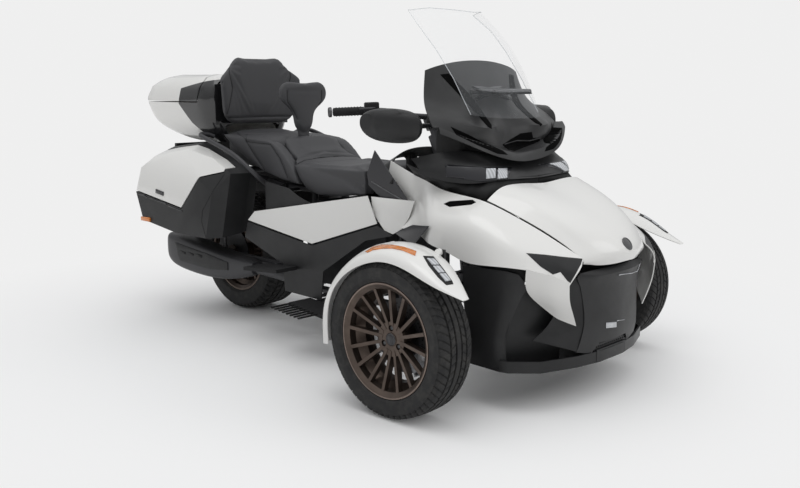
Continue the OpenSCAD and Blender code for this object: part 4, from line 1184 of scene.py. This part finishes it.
@dataclass
class Front:
    """Painted panels, bumper and lamps of the front."""

    badge: tuple[float, float, float] = (491, 0, 585.8)
    badge_lean: float = math.radians(57)
    liner: float = 0.003

    def build(self) -> None:
        """Makes and dresses the front."""
        bonnet = stand_in("bonnet", Finishes.pearl, Shaping.SMOOTH)
        fairings = stand_in("side_fairings", Finishes.pearl, Shaping.SMOOTH)
        bumper = stand_in("front_bumper", Finishes.dark, Shaping.EDGED)
        stand_in("trunk_bin", Finishes.soft_dark, Shaping.EDGED)
        self.mudguards()
        self.nose(bonnet, fairings, bumper)
        self.flanks(fairings)

    def mudguards(self) -> None:
        """Makes the mudguards with their lamps."""
        skins = [stand_in("mudguard_" + side, Finishes.pearl, Shaping.SMOOTH) for side in SIDES]
        guard = Skin(skins[0])
        amber = [(365.6, 252.2), (372.6, 247.5), (381.6, 245.2), (392.2, 245.4), (403.9, 247.5), (416.4, 251.8),
                 (415.2, 255.8), (403.2, 250.8), (392.2, 248.5), (381.6, 248.7), (372.6, 250.4), (367.5, 252.9)]
        lamp = [(423.0, 256.0), (433.4, 256.5), (442.8, 268.2), (452.2, 281.2), (453.4, 284.2), (446.3, 285.2),
                (438.1, 277.6), (428.6, 265.9)]
        laid("turn_lamp", guard, amber, Finishes.lamp_amber, KNUCKLES, lift=0.0035, depth=0.005, step=1.6,
             round_off=0.0012)
        laid("marker_bed", guard, lamp, Finishes.soft_dark, KNUCKLES, lift=0.0012, depth=0.003, step=2.0)
        for k, (start, end) in enumerate(((0.06, 0.30), (0.34, 0.60), (0.64, 0.92))):
            left = [self.between((425.5, 257.3), (447.0, 284.0), t) for t in (start, end)]
            right = [self.between((433.0, 257.8), (452.0, 283.0), t) for t in (end, start)]
            laid(f"marker_lens_{k}", guard, left + right, Finishes.lamp_white, KNUCKLES, lift=0.0042, depth=0.004,
                 step=2.0, round_off=0.001)

    @staticmethod
    def between(a: tuple[float, float], b: tuple[float, float], t: float) -> tuple[float, float]:
        """Returns the point that lies the share t of the way from a to b."""
        return (a[0] + (b[0] - a[0]) * t, a[1] + (b[1] - a[1]) * t)

    def nose(self, bonnet: bpy.types.Object, fairings: bpy.types.Object, bumper: bpy.types.Object) -> None:
        """Lays the painted shade on the tusk, the nose's dark liners and bright strips, its badge disc and its plate.
        """
        skin = Skin(fairings)
        # painted shade: a dark plate laid on the white fairing of the tusk
        shade = [(526.3, 253.2), (545, 254.8), (563, 257.0), (582.4, 258.8), (581.0, 264), (575.6, 274),
                 (570.2, 283.0), (567.5, 281), (560.5, 272), (553, 274.5), (541, 267)]
        laid("tusk_shade", skin, shade, Finishes.dark, CHASSIS, lift=0.0012, depth=0.004, step=2.0)
        self.liners()
        grille = Skin(bumper)
        bar("brow_strip", grille.run([(618.1, 274.8), (631.0, 272.9), (645.1, 268.9), (657.8, 263.5)], Seen.PHOTO,
                                     0.001, 3), 0.0028, Finishes.chrome, "chassis")
        laid("nose_plate", grille, [(605.8, 322.4), (616.2, 321.6), (616.2, 327.1), (605.8, 328.2)],
             Finishes.chrome, "chassis", lift=0.002, depth=0.003, step=2.0, round_off=0.0008)
        bar("nose_rib", grille.run([(616.2, 320.7), (623.9, 319.5)], Seen.PHOTO, 0.001, 3), 0.0018,
            Finishes.chrome, "chassis")
        way = Vector((math.sin(self.badge_lean), 0, math.cos(self.badge_lean)))
        disc = knob(bmesh.new(), at(*self.badge), way,
                    [(0, 0), (0.0262, 0), (0.0266, 0.0018), (0.0250, 0.0038), (0.0222, 0.0038),
                     (0.0212, 0.0026), (0.012, 0.0040), (0, 0.0044)], 48)
        new_piece("badge_disc", disc, "bonnet", Finishes.badge)

    def liners(self) -> None:
        """Makes the dark panels that close the gaps under the headlamps and beside the nose."""
        lower = spots((-325, -240, 790), (-210, -300, 780), (-110, -326, 756), (0, -329, 744), (84, -322, 734),
                      (88, -290, 752), (92, -235, 766), (92, -120, 764), (92, 0, 758))
        upper = spots((-300, -330, 850), (-165, -376, 830), (-75, -345, 808), (14, -300, 803), (55, -262, 806),
                      (72, -230, 812), (84, -170, 812), (88, -110, 812), (92, 0, 810))
        foot = spots((95, -420, 470), (160, -418, 470), (225, -412, 470), (318, -388, 470))
        top = spots((95, -418, 566), (160, -416, 566), (225, -408, 560), (318, -380, 556))
        for name, low, high in (("cowl_apron", lower, upper), ("nose_liner", foot, top)):
            placed(name, lambda: strip_between(low, high), CHASSIS, Finishes.soft_dark,
                   lambda piece: modifier(piece, "SOLIDIFY", thickness=self.liner, offset=-1))

    def flanks(self, fairings: bpy.types.Object) -> None:
        """Lays painted shade in the vent on the flanks and makes the white collar and dark wedge behind the mudguard.
        """
        skin = Skin(fairings)
        # painted shade inside the vent
        vent = [(443.8, 204.0), (450.0, 201.4), (472.6, 200.0), (476.0, 202.3), (471.4, 204.7), (449.5, 207.0)]
        laid("flank_vent", skin, vent, Finishes.painted_shade, CHASSIS, lift=0.0014, depth=0.004, step=1.5)
        collar = spots((-514, -312, 704), (-500, -318, 640), (-425, -326, 574), (-375, -329, 564),
                       (-325, -327, 592), (-296, -318, 640), (-283, -300, 704))
        placed("knee_collar", lambda: slab(collar, Vector((0, 0.004, 0)), 0.0012), CHASSIS, Finishes.pearl)
        wedge = spots((-300, -394, 584), (-235, -414, 612), (-176, -430, 634), (-70, -455, 643),
                      (-110, -449, 606), (-165, -436, 560), (-230, -416, 570))
        placed("flank_wedge", lambda: slab(wedge, Vector((0, 0.006, 0)), 0.0012), CHASSIS, Finishes.gloss)


@dataclass
class Cockpit:
    """Mask, screen, headlamps, mirrors, console and controls."""

    def build(self) -> None:
        """Makes and dresses the cockpit."""
        cowl = stand_in("headlamp_cowl", Finishes.dark, Shaping.SMOOTH)
        mask = stand_in("screen_cowl", Finishes.satin, Shaping.SMOOTH)
        stand_in("windscreen", Finishes.pane, Shaping.SMOOTH)
        self.mask(mask)
        self.lamps(cowl)
        self.screen_edge()
        self.mirrors()
        self.console()
        self.controls()

    def mask(self, mask: bpy.types.Object) -> None:
        """Lays the mask's crest and the intake's lip, and painted shade in its slot, groove and intake and under the
        crest.
        """
        skin = Skin(mask)
        # painted shade inside the slot
        slot = [(440.3, 74.6), (448.6, 73.6), (468.0, 92.8), (479.5, 107.9), (491.5, 125.3), (491.5, 128.7),
                (488.2, 127.1), (471.4, 107.9), (456.4, 91.7)]
        laid("mask_slot", skin, slot, Finishes.painted_shade, CHASSIS, lift=0.0016, depth=0.004, step=1.2)
        crest = [(471.4, 86.1), (481.8, 86.6), (507.6, 92.8), (511.7, 98.6), (506.2, 96.3), (497.9, 92.6),
                 (482.9, 90.8)]
        laid("mask_crest", skin, crest, Finishes.crest, CHASSIS, lift=0.0026, depth=0.005, step=1.2,
             round_off=0.0008)
        # painted shadow under the crest
        under = [(473.0, 88.6), (482.9, 91.8), (497.9, 93.6), (506.2, 97.3), (511.0, 100.5), (497.0, 97.0),
                 (484.0, 95.0)]
        laid("crest_shade", skin, under, Finishes.painted_shade, CHASSIS, lift=0.0012, depth=0.004, step=1.2)
        # painted shade inside the intake
        intake = [(502.5, 144.9), (510.4, 139.4), (520.5, 133.4), (531.6, 132.0), (532.9, 138.0), (539.9, 137.5),
                  (539.9, 140.8), (533.6, 143.8), (514.5, 151.0), (508.3, 149.6)]
        laid("mask_intake", skin, intake, Finishes.painted_shade, "chassis", lift=0.0016, depth=0.004, step=1.2)
        bar("intake_lip", skin.run([(503.9, 144.5), (516.4, 140.8), (529.0, 140.8), (539.4, 138.0)], Seen.PHOTO,
                                   0.003, 3), 0.0026, Finishes.satin, "chassis")
        # painted shade inside the groove
        groove = [(450.9, 126.9), (468.0, 134.5), (486.4, 143.8), (502.5, 150.7), (507.6, 154.7), (497.9, 153.7),
                  (479.5, 145.9), (456.4, 134.7)]
        laid("mask_groove", skin, groove, Finishes.painted_shade, CHASSIS, lift=0.0016, depth=0.004, step=1.2)
        box_piece("mask_core", at(-238, -236, 872), at(-92, 236, 988), Finishes.soft_dark, "chassis", 0.018)

    def lamps(self, cowl: bpy.types.Object) -> None:
        """Lays the headlamp band with its square lenses."""
        skin = Skin(cowl, stand_in("headlamp_lenses", Finishes.smoked, Shaping.EDGED))
        band = [(444.9, 164.4), (486.4, 167.6), (512.0, 167.4), (508.0, 178.5), (481.8, 182.0), (446.1, 176.9)]
        laid("lamp_band", skin, band, Finishes.gloss, CHASSIS, lift=0.0012, depth=0.003, step=3.0)
        for k, left in enumerate((485.9, 497.5)):
            cell = [(left, 169.2), (left + 9.2, 168.9), (left + 9.2, 178.2), (left, 179.0)]
            laid(f"lamp_cell_{k}", skin, cell, Finishes.lamp_white, CHASSIS, lift=0.0045, depth=0.006, step=2.5,
                 round_off=0.0015)

    def screen_edge(self) -> None:
        """Makes the polished edge of the screen, a pale bar whose colour paints the edge's highlight."""
        half = spots((-68, -220, 1045), (-155, -220, 1180), (-245, -225, 1296), (-325, -228, 1380),
                     (-408, -205, 1450), (-335, -160, 1457), (-268, -85, 1450), (-240, 0, 1444))
        # painted highlight along the screen's edge
        bar("screen_edge", half + [other_side(p) for p in reversed(half[:-1])], 0.0016, Finishes.lens, "chassis")

    def mirrors(self) -> None:
        """Makes the mirrors with their round glasses."""
        skin = Skin(stand_in("mirrors", Finishes.dark, Shaping.SMOOTH))
        turns = [math.tau * k / 24 for k in range(24)]
        oval = [(-458 + 46 * math.cos(turn), 1006 + 46 * math.sin(turn)) for turn in turns]
        laid("mirror_glass", skin, oval, Finishes.mirror, CHASSIS, Seen.BEHIND, 0.0015, 0.003, 14)

    def console(self) -> None:
        """Dresses the console, the knee panels and the display."""
        stand_in("centre_console", Finishes.dark, Shaping.SMOOTH)
        panel = Skin(stand_in("instrument_panel", Finishes.soft_dark, Shaping.EDGED))
        face = [(-128, 1036), (128, 1036), (120, 1122), (-120, 1122)]
        laid("display", panel, face, Finishes.screen, "chassis", Seen.BEHIND, 0.0015, 0.003, 20)
        knees = stand_in("knee_panels", Finishes.gloss, Shaping.EDGED)
        skin = Skin(knees)
        # the ridge is real; its grey metal finish, lighter than the gloss black panel, paints the highlight along it
        ridge = skin.run([(371.7, 181.5), (389.6, 192.4), (407.0, 202.6)], Seen.PHOTO, 0.001, 3)
        bar("knee_ridge", ridge, 0.0028, Finishes.crest, CHASSIS)
        laid("knee_notch", skin, [(389.6, 183.1), (393.8, 176.9), (396.5, 176.9), (392.4, 184.3)],
             Finishes.soft_dark, CHASSIS, lift=0.0014, depth=0.003)

    def controls(self) -> None:
        """Dresses the handlebar and makes what sits on its ends."""
        stand_in("handlebar", Finishes.frame, Shaping.SMOOTH, 50)
        stand_in("grips", Finishes.rubber, Shaping.EDGED)
        BarEnd().build()


@dataclass
class BarEnd:
    """Grip, end weight, switch pod and lever on each end of the handlebar."""

    start: Vector = field(default_factory=lambda: at(-560, -300, 1052))
    way: Vector = field(default_factory=lambda: Vector((-80, -110, -5)).normalized())
    rib_count: int = 9
    rib_pitch: float = 0.0125
    first_rib: float = 0.014
    length: float = 0.136
    pod_back: float = 0.026
    pod_size: tuple[float, float, float] = (0.044, 0.056, 0.058)

    def build(self) -> None:
        """Makes both bar ends."""
        placed("grip_ribs", self.ribs, STEERED, Finishes.rubber)
        placed("grip_end", self.weight, STEERED, Finishes.dark_steel)
        placed("switch_pod", self.pod, STEERED, Finishes.soft_dark)
        placed("switch_buttons", self.buttons, STEERED, Finishes.dark)
        lever = [self.start - self.way * 0.020 + Vector((0.030, 0, 0.012)),
                 self.start + self.way * 0.012 + Vector((0.046, 0.004, 0.012)),
                 self.start + self.way * 0.055 + Vector((0.044, 0.004, 0.010))]
        bar("switch_lever", lever, 0.0045, Finishes.frame, STEERED)

    def ribs(self) -> bmesh.types.BMesh:
        """Returns the rings of the grip."""
        bm = bmesh.new()
        for k in range(self.rib_count):
            knob(bm, self.start + self.way * (self.first_rib + k * self.rib_pitch), self.way,
                 [(0.0105, 0), (0.0186, 0.0008), (0.0186, 0.0048), (0.0105, 0.0056)], 20)
        return bm

    def weight(self) -> bmesh.types.BMesh:
        """Returns the weight at the grip's end."""
        return knob(bmesh.new(), self.start + self.way * self.length, self.way,
                    [(0, 0), (0.019, 0), (0.0205, 0.002), (0.0205, 0.011), (0.017, 0.014), (0.008, 0.014),
                     (0.007, 0.012), (0, 0.012)], 24)

    def pod(self) -> bmesh.types.BMesh:
        """Returns the switch pod inside the grip."""
        bm = bmesh.new()
        place = facing(self.start - self.way * self.pod_back + Vector((0.004, 0, 0.006)), self.way)
        bmesh.ops.create_cube(bm, size=1, matrix=place @ Matrix.Diagonal((*self.pod_size, 1)))
        return edge_bevelled(bm, 0.006, 3)

    def buttons(self) -> bmesh.types.BMesh:
        """Returns the pod's buttons, on the rider's side."""
        bm = bmesh.new()
        to_rider = Vector((-0.8, 0.55, 0.15)).normalized()
        for across, height in ((-0.012, 0.012), (0.008, 0.014), (-0.002, -0.006)):
            spot = self.start - self.way * (self.pod_back + across) + Vector((-0.0195, 0.010, height + 0.006))
            knob(bm, spot, to_rider, [(0, 0), (0.0055, 0), (0.0055, 0.003), (0.0045, 0.004), (0, 0.004)], 12)
        return bm


@dataclass
class Sides:
    """Panels and boards beside the engine and under the seats."""

    board_rear: float = -876
    board_length: float = 224
    board_rise: float = 22
    board_top: float = 226.5
    first_rib: float = -860
    rib_pitch: float = 25

    def build(self) -> None:
        """Makes and dresses the panels."""
        for node, finish in (("seat_side_panels", Finishes.pearl), ("lower_side_panels", Finishes.dark),
                             ("rear_side_panels", Finishes.dark), ("footboards", Finishes.rubber)):
            stand_in(node, finish, Shaping.EDGED)
        placed("board_ribs", self.ribs, CHASSIS, Finishes.rubber)

    def ribs(self) -> bmesh.types.BMesh:
        """Returns the raised rubber bars on the rider's board."""
        bm = bmesh.new()
        for k in range(8):
            x = self.first_rib + k * self.rib_pitch
            z = self.board_top - (x - self.board_rear) / self.board_length * self.board_rise
            boxed(bm, at(x, -575, z - 3), at(x + 10, -470, z + 4))
        return edge_bevelled(bm, 0.0015, 2)


@dataclass
class Luggage:
    """Side cases and top case with their trims."""

    def build(self) -> None:
        """Makes and dresses the cases."""
        self.side_cases()
        self.top_case()
        self.tail()

    def side_cases(self) -> None:
        """Dresses the side cases."""
        cases = [stand_in("side_case_" + side, Finishes.dark, Shaping.EDGED) for side in SIDES]
        lids = [stand_in("side_case_lid_" + side, Finishes.pearl, Shaping.EDGED) for side in SIDES]
        case, lid = Skin(cases[0]), Skin(lids[0])
        trim = [(-2096, 618), (-1990, 607), (-1692, 566), (-1676, 552), (-1990, 592), (-2092, 602)]
        laid("case_trim", case, trim, Finishes.gloss, CHASSIS, Seen.RIGHT, 0.0025, 0.005, 40, 0.0012)
        gap = [(224.4, 173.9), (212.9, 191.1), (202.5, 210.1), (201.5, 221.6), (206.3, 239.1)]
        bar("case_seam", case.run(gap, Seen.PHOTO, 0.0, 3), 0.0014, Finishes.soft_dark, CHASSIS)
        latch = [(-1905, 622), (-1835, 612), (-1832, 632), (-1902, 642)]
        laid("case_latch", lid, latch, Finishes.gloss, LIDS, Seen.RIGHT, 0.0045, 0.007, 20, 0.0015)
        box_piece("case_reflector", at(-2046, -464, 468), at(-1966, -446, 490), Finishes.lamp_amber, CHASSIS, 0.004)

    def top_case(self) -> None:
        """Dresses the top case, white behind and dark towards the backrest."""
        case = stand_in("top_case", Finishes.two_tone, Shaping.SMOOTH)
        stand_in("top_case_lid", Finishes.two_tone, Shaping.SMOOTH)
        skin = Skin(case)
        keyhole, way, _ = skin.met(at(-4000, 0, 1060), Vector((1, 0, 0)), 2)
        lock = knob(bmesh.new(), keyhole - way * 0.001, way,
                    [(0, 0), (0.013, 0), (0.013, 0.003), (0.011, 0.004), (0.006, 0.004), (0.005, 0.003),
                     (0, 0.003)])
        new_piece("top_case_lock", lock, "chassis", Finishes.dark_steel)

    def tail(self) -> None:
        """Dresses the tail."""
        stand_in("tail_section", Finishes.soft_dark, Shaping.EDGED)
        stand_in("tail_lamps", Finishes.lamp_red, Shaping.EDGED)
        bm = bmesh.new()
        for y in (-105, 105):
            knob(bm, at(-2125, y, 700), Vector((-1, 0, 0)),
                 [(0, 0), (0.007, 0), (0.007, 0.002), (0.005, 0.004), (0, 0.004)], 16)
        new_piece("plate_bolts", bm, "chassis", Finishes.dark_steel)


# Saddles


@dataclass
class Cushion:
    """A padded cushion, swelled by cloth from its solid and pressed in along its seams."""

    node: str
    seams: Sequence[Outline]
    swell: float = 0.009
    voxel: float = 0.0065
    shrink: float = 0.0035
    dense: int = 15000
    piece: bpy.types.Object | None = None
    lines: list[list[Vector]] = field(default_factory=list)

    def prepare(self) -> None:
        """Makes the cushion's starting mesh from the solid, a little smaller and evenly netted."""
        bm = creased(solid_copy(self.node, True), 75)
        start = new_piece(self.node + "_start", bm, body_of_node(self.node), Finishes.cover)
        subdivided(start, 1)
        modifier(start, "REMESH", mode="VOXEL", voxel_size=self.voxel, use_smooth_shade=True)
        mesh = bpy.data.meshes.new_from_object(start.evaluated_get(bpy.context.evaluated_depsgraph_get()))
        bpy.data.objects.remove(start)
        bm = bmesh.new()
        bm.from_mesh(mesh)
        bpy.data.meshes.remove(mesh)
        for _ in range(9):
            bmesh.ops.smooth_vert(bm, verts=bm.verts, factor=0.5, use_axis_x=True, use_axis_y=True, use_axis_z=True)
        bm.normal_update()
        for vert in bm.verts:
            vert.co -= vert.normal * self.shrink
        for face in bm.faces:
            face.smooth = True
        self.piece = new_piece(self.node + "_cushion", bm, body_of_node(self.node), Finishes.cover)
        skin = Skin(self.piece)
        for seam in self.seams:
            line = skin.run(seam, Seen.PHOTO, 0.0, 1.2)
            self.lines += [line, [Vector((p.x, -p.y, p.z)) for p in line]]

    def seam_tree(self) -> kdtree.KDTree:
        """Returns a tree of the seams' points."""
        points = [a.lerp(b, k / 3) for line in self.lines for a, b in zip(line, line[1:]) for k in range(3)]
        tree = kdtree.KDTree(max(1, len(points)))
        for index, point in enumerate(points or [Vector((9, 9, 9))]):
            tree.insert(point, index)
        tree.balance()
        return tree

    def pin(self) -> None:
        """Adds the cloth, held at the seams and underneath."""
        tree = self.seam_tree()
        group = self.piece.vertex_groups.new(name="held")
        low = min(v.co.z for v in self.piece.data.vertices)
        for vert in self.piece.data.vertices:
            near = tree.find(vert.co)[2]
            held = max(1.0 - near / 0.014, 0.0)
            if vert.co.z < low + 0.02 or vert.normal.z < -0.7:
                held = 1.0
            if held > 0:
                group.add([vert.index], min(1.0, held * 1.6), "REPLACE")
        cloth = modifier(self.piece, "CLOTH")
        settings = cloth.settings
        settings.quality = 5
        settings.mass = 0.3
        settings.tension_stiffness = 12
        settings.compression_stiffness = 12
        settings.shear_stiffness = 6
        settings.bending_stiffness = 0.6
        settings.vertex_group_mass = "held"
        settings.use_pressure = True
        settings.uniform_pressure_force = 4.0
        settings.effector_weights.gravity = 0
        cloth.collision_settings.use_collision = False
        cloth.point_cache.frame_start = 1
        cloth.point_cache.frame_end = 20

    def settle(self) -> None:
        """Applies the cloth, with its swelling capped."""
        graph = bpy.context.evaluated_depsgraph_get()
        swelled = [v.co.copy() for v in self.piece.evaluated_get(graph).data.vertices]
        self.piece.modifiers.clear()
        self.piece.vertex_groups.clear()
        for vert, goal in zip(self.piece.data.vertices, swelled):
            move = goal - vert.co
            if move.length > self.swell:
                move *= self.swell / move.length
            vert.co += move

    def finish(self) -> None:
        tree = self.seam_tree()
        bm = bmesh.new()
        bm.from_mesh(self.piece.data)
        bmesh.ops.smooth_vert(bm, verts=bm.verts, factor=0.4, use_axis_x=True, use_axis_y=True, use_axis_z=True)
        bm.normal_update()
        for vert in bm.verts:
            near = tree.find(vert.co)[2]
            if near < 0.009:
                vert.co -= vert.normal * 0.0042 * (1 - (near / 0.009) ** 2) ** 2
        bm.to_mesh(self.piece.data)
        bm.free()
        if len(self.piece.data.vertices) < self.dense:
            subdivided(self.piece, 1)
        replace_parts(self.piece, self.node)
        if self.lines:
            self.sew()

    def sew(self) -> None:
        """Lays the piping in the seams and a row of stitches beside each."""
        skin = Skin(self.piece).tree
        piping, thread = bmesh.new(), bmesh.new()
        for line in self.lines:
            path = []
            for point in line:
                spot, normal, _, _ = skin.find_nearest(point)
                path.append(spot + normal * 0.0002)
            path = [p for k, p in enumerate(path) if k == 0 or (p - path[k - 1]).length > 0.001]
            if len(path) < 3:
                continue
            tubed(piping, path, 0.0013, 6)
            for a, b in zip(path, path[1:]):
                spot, normal, _, _ = skin.find_nearest((a + b) / 2)
                aside = (b - a).cross(normal).normalized() * 0.006
                from_here = skin.find_nearest(a.lerp(b, 0.15) + aside)[0] + normal * 0.0003
                to_there = skin.find_nearest(a.lerp(b, 0.75) + aside)[0] + normal * 0.0003
                if (to_there - from_here).length > 0.001:
                    pegged(thread, from_here, to_there, 0.0006, 5)
        bmesh.ops.recalc_face_normals(piping, faces=piping.faces)
        new_piece(self.node + "_piping", piping, body_of_node(self.node), Finishes.soft_dark)
        new_piece(self.node + "_thread", thread, body_of_node(self.node), Finishes.thread)


@dataclass
class Saddles:
    """Seats and backrests."""

    def cushions(self) -> list[Cushion]:
        """Returns the cushions with the seams that the photograph shows."""
        return [
            Cushion("driver_seat", [
                [(293.9, 165.4), (304.4, 164.0), (323.4, 162.5), (342.5, 161.0), (353.0, 160.4)],
                [(293.9, 165.4), (304.4, 159.6), (321.5, 156.8), (340.5, 155.8)],
                [(287.6, 150.1), (288.2, 156.8), (290.9, 162.0), (293.9, 165.4)]]),
            Cushion("passenger_seat", [
                [(226.5, 127.8), (235.8, 131.1), (243.4, 136.8), (252.9, 153.0), (264.4, 170.1)],
                [(246.3, 133.9), (266.3, 133.0), (284.0, 132.0)],
                [(246.3, 133.9), (245.7, 141.6), (270.1, 144.4), (279.6, 158.7), (287.5, 178.5)]]),
            Cushion("driver_backrest", [
                [(287.6, 90.5), (287.9, 101.6), (293.6, 111.1), (298.0, 119.5)]], swell=0.008),
            Cushion("passenger_backrest", [
                [(228.5, 61.5), (229.9, 73.0), (233.2, 88.2), (230.6, 103.5), (227.8, 114.0)],
                [(222.6, 118.6), (243.4, 117.4), (262.0, 116.6)]], swell=0.010)]

    def build(self) -> None:
        """Makes and dresses the seats."""
        made = self.cushions()
        for cushion in made:
            cushion.prepare()
        for cushion in made:
            cushion.pin()
        scene = bpy.context.scene
        for step in range(1, 21):
            scene.frame_set(step)
        for cushion in made:
            cushion.settle()
        scene.frame_set(1)
        for cushion in made:
            cushion.finish()
            log.info("cushion %s has %d points", cushion.node, len(cushion.piece.data.vertices))


# Running gear


@dataclass
class Running:
    """Frame, engine, suspension and drive."""

    front_foot: Vector = field(default_factory=lambda: at(0, -500, 186))
    front_head: Vector = field(default_factory=lambda: at(0, -252, 560))
    rear_foot: Vector = field(default_factory=lambda: at(-1290, 0, 300))
    rear_head: Vector = field(default_factory=lambda: at(-1109, 0, 600))

    def build(self) -> None:
        """Dresses the running gear."""
        for node in ("frame", "swing_arm", "suspension_arms"):
            dressed(node, Finishes.frame)
        stand_in("grab_handles", Finishes.frame, Shaping.SMOOTH)
        stand_in("engine_block", Finishes.engine, Shaping.EDGED)
        dressed("dampers", Finishes.frame)
        dressed("drive_belt", Finishes.rubber)
        for side in ("right", "left"):
            dressed("tie_rod_" + side, Finishes.steel)
        bar("front_spring", self.coil(self.front_foot, self.front_head), 0.0055, Finishes.spring, CHASSIS)
        bar("rear_spring", self.coil(self.rear_foot, self.rear_head), 0.0055, Finishes.spring, "chassis")
        self.muffler()

    @staticmethod
    def coil(foot: Vector, head: Vector) -> list[Vector]:
        """Returns the wire's path round a spring unit."""
        way = (head - foot).normalized()
        length = (head - foot).length
        across = way.orthogonal().normalized()
        beside = way.cross(across)
        turns, steps = 7, 14
        path = []
        for k in range(turns * steps + 1):
            angle = math.tau * k / steps
            along = 0.056 + (length - 0.056 - 0.064) * k / (turns * steps)
            path.append(foot + way * along + (across * math.cos(angle) + beside * math.sin(angle)) * 0.029)
        return path

    def muffler(self) -> None:
        """Dresses the muffler and adds its shield and end."""
        can = stand_in("muffler", Finishes.frame, Shaping.SMOOTH)
        skin = Skin(can)
        shield = [(-1930, 352), (-1640, 322), (-1500, 300), (-1500, 262), (-1640, 250), (-1900, 262)]
        laid("muffler_shield", skin, shield, Finishes.dark, "chassis", Seen.RIGHT, 0.004, 0.005, 25, 0.0015)
        for k in range(3):
            x = -1880 + k * 70
            slot = [(x, 318), (x + 48, 312), (x + 44, 300), (x - 4, 306)]
            laid(f"shield_slot_{k}", skin, slot, Finishes.soft_dark, "chassis", Seen.RIGHT, 0.0046, 0.004, 20)
        end = knob(bmesh.new(), at(-2020, -270, 326), Vector((-1, 0, 0.12)).normalized(),
                   [(0, 0), (0.040, 0), (0.042, 0.004), (0.040, 0.0085), (0.031, 0.0085), (0.029, 0.004), (0, 0.004)])
        new_piece("muffler_end", end, "chassis", Finishes.chrome)


# Studio


@dataclass
class Studio:
    """Camera, floor, backdrop and lamps."""

    floor_tone: float = 0.97
    bounce_tone: float = 0.42
    paper: float = 0.865
    inner: float = 1.1
    outer: float = 2.6

    def build(self) -> None:
        """Makes the studio."""
        self.camera()
        self.floor()
        self.world()
        self.lamps()

    def camera(self) -> None:
        """Places the camera as the photograph's."""
        data = bpy.data.cameras.new("camera")
        data.sensor_width = SIGHT.sensor
        data.lens = SIGHT.lens
        data.clip_end = 60
        made = bpy.data.objects.new("camera", data)
        bpy.context.scene.collection.objects.link(made)
        made.location = SIGHT.place
        made.rotation_mode = "QUATERNION"
        made.rotation_quaternion = SIGHT.back().to_track_quat("Z", "Y")
        bpy.context.scene.camera = made

    def floor(self) -> None:
        """Makes the pale floor, which turns to plain paper away from the vehicle."""
        bm = bmesh.new()
        bmesh.ops.create_circle(bm, cap_ends=True, segments=64, radius=14)
        mesh = bpy.data.meshes.new("floor")
        bm.to_mesh(mesh)
        bm.free()
        floor = bpy.data.objects.new("floor", mesh)
        bpy.context.scene.collection.objects.link(floor)
        floor.location.z = -0.0015
        shade = Shade("floor")
        tone = self.floor_tone
        paper = shade.blend(shade.noise(0.4, 2), rgb(tone, tone, tone), rgb(tone * 0.99, tone * 0.99, tone * 0.99))
        seen = shade.node("ShaderNodeLightPath", {}, {}, "Is Camera Ray")
        seen += shade.node("ShaderNodeLightPath", {}, {}, "Is Glossy Ray")
        seen += shade.node("ShaderNodeLightPath", {}, {}, "Is Transmission Ray")
        shade.set(Base_Color=shade.blend(seen.clamped(), rgb(self.bounce_tone, self.bounce_tone, self.bounce_tone),
                                         paper), Roughness=0.9)
        spread = shade.node("ShaderNodeVectorMath", {"operation": "LENGTH"}, {0: shade.place()}, "Value")
        glow = shade.tree.nodes.new("ShaderNodeEmission")
        glow.inputs["Color"].default_value = rgb(self.paper, self.paper, self.paper)
        mix = shade.tree.nodes.new("ShaderNodeMixShader")
        shade.feed(mix.inputs[0], shade.ramp(spread, self.inner, self.outer))
        shade.tree.links.new(shade.shader.outputs[0], mix.inputs[1])
        shade.tree.links.new(glow.outputs[0], mix.inputs[2])
        shade.tree.links.new(mix.outputs[0], shade.output.inputs["Surface"])
        mesh.materials.append(shade.material)

    def world(self) -> None:
        """Makes the soft light all round, brighter above, and the plain paper that the camera sees."""
        world = bpy.data.worlds.new("world")
        bpy.context.scene.world = world
        world.use_nodes = True
        tree = world.node_tree
        tree.nodes.clear()
        path = tree.nodes.new("ShaderNodeLightPath")
        way = tree.nodes.new("ShaderNodeTexCoord")
        split = tree.nodes.new("ShaderNodeSeparateXYZ")
        tree.links.new(way.outputs["Generated"], split.inputs[0])
        ramp = tree.nodes.new("ShaderNodeMapRange")
        for key, value in (("From Min", -0.1), ("From Max", 1.0), ("To Min", 0.30), ("To Max", 1.05)):
            ramp.inputs[key].default_value = value
        tree.links.new(split.outputs["Z"], ramp.inputs["Value"])
        soft = tree.nodes.new("ShaderNodeBackground")
        tree.links.new(ramp.outputs[0], soft.inputs["Strength"])
        soft.inputs[0].default_value = rgb(0.985, 0.992, 1.0)
        seen = tree.nodes.new("ShaderNodeBackground")
        seen.inputs[0].default_value = rgb(self.paper, self.paper, self.paper)
        mix = tree.nodes.new("ShaderNodeMixShader")
        out = tree.nodes.new("ShaderNodeOutputWorld")
        tree.links.new(path.outputs["Is Camera Ray"], mix.inputs[0])
        tree.links.new(soft.outputs[0], mix.inputs[1])
        tree.links.new(seen.outputs[0], mix.inputs[2])
        tree.links.new(mix.outputs[0], out.inputs[0])

    def lamps(self) -> None:
        """Hangs the soft lamps."""
        for name, place, aim, size, power in (
                ("key", (0.9, -1.6, 4.4), (0.3, 0, 0.6), 2.2, 22),
                ("front", (4.4, 1.8, 2.8), (0.8, 0, 0.6), 1.8, 12)):
            data = bpy.data.lights.new(name, "AREA")
            data.size = size
            data.energy = power
            made = bpy.data.objects.new(name, data)
            bpy.context.scene.collection.objects.link(made)
            made.location = place
            made.rotation_mode = "QUATERNION"
            made.rotation_quaternion = (Vector(place) - Vector(aim)).to_track_quat("Z", "Y")


def main() -> None:
    """Builds every sub-assembly in order."""
    logging.basicConfig(level=logging.INFO, format="%(name)s: %(message)s")
    bpy.context.scene.view_settings.view_transform = "Standard"
    Studio().build()
    for part in (FrontWheels(), RearWheel(), Front(), Cockpit(), Sides(), Luggage(), Saddles(), Running()):
        part.build()
        log.info("built %s", type(part).__name__)


if __name__ == "__main__":
    main()
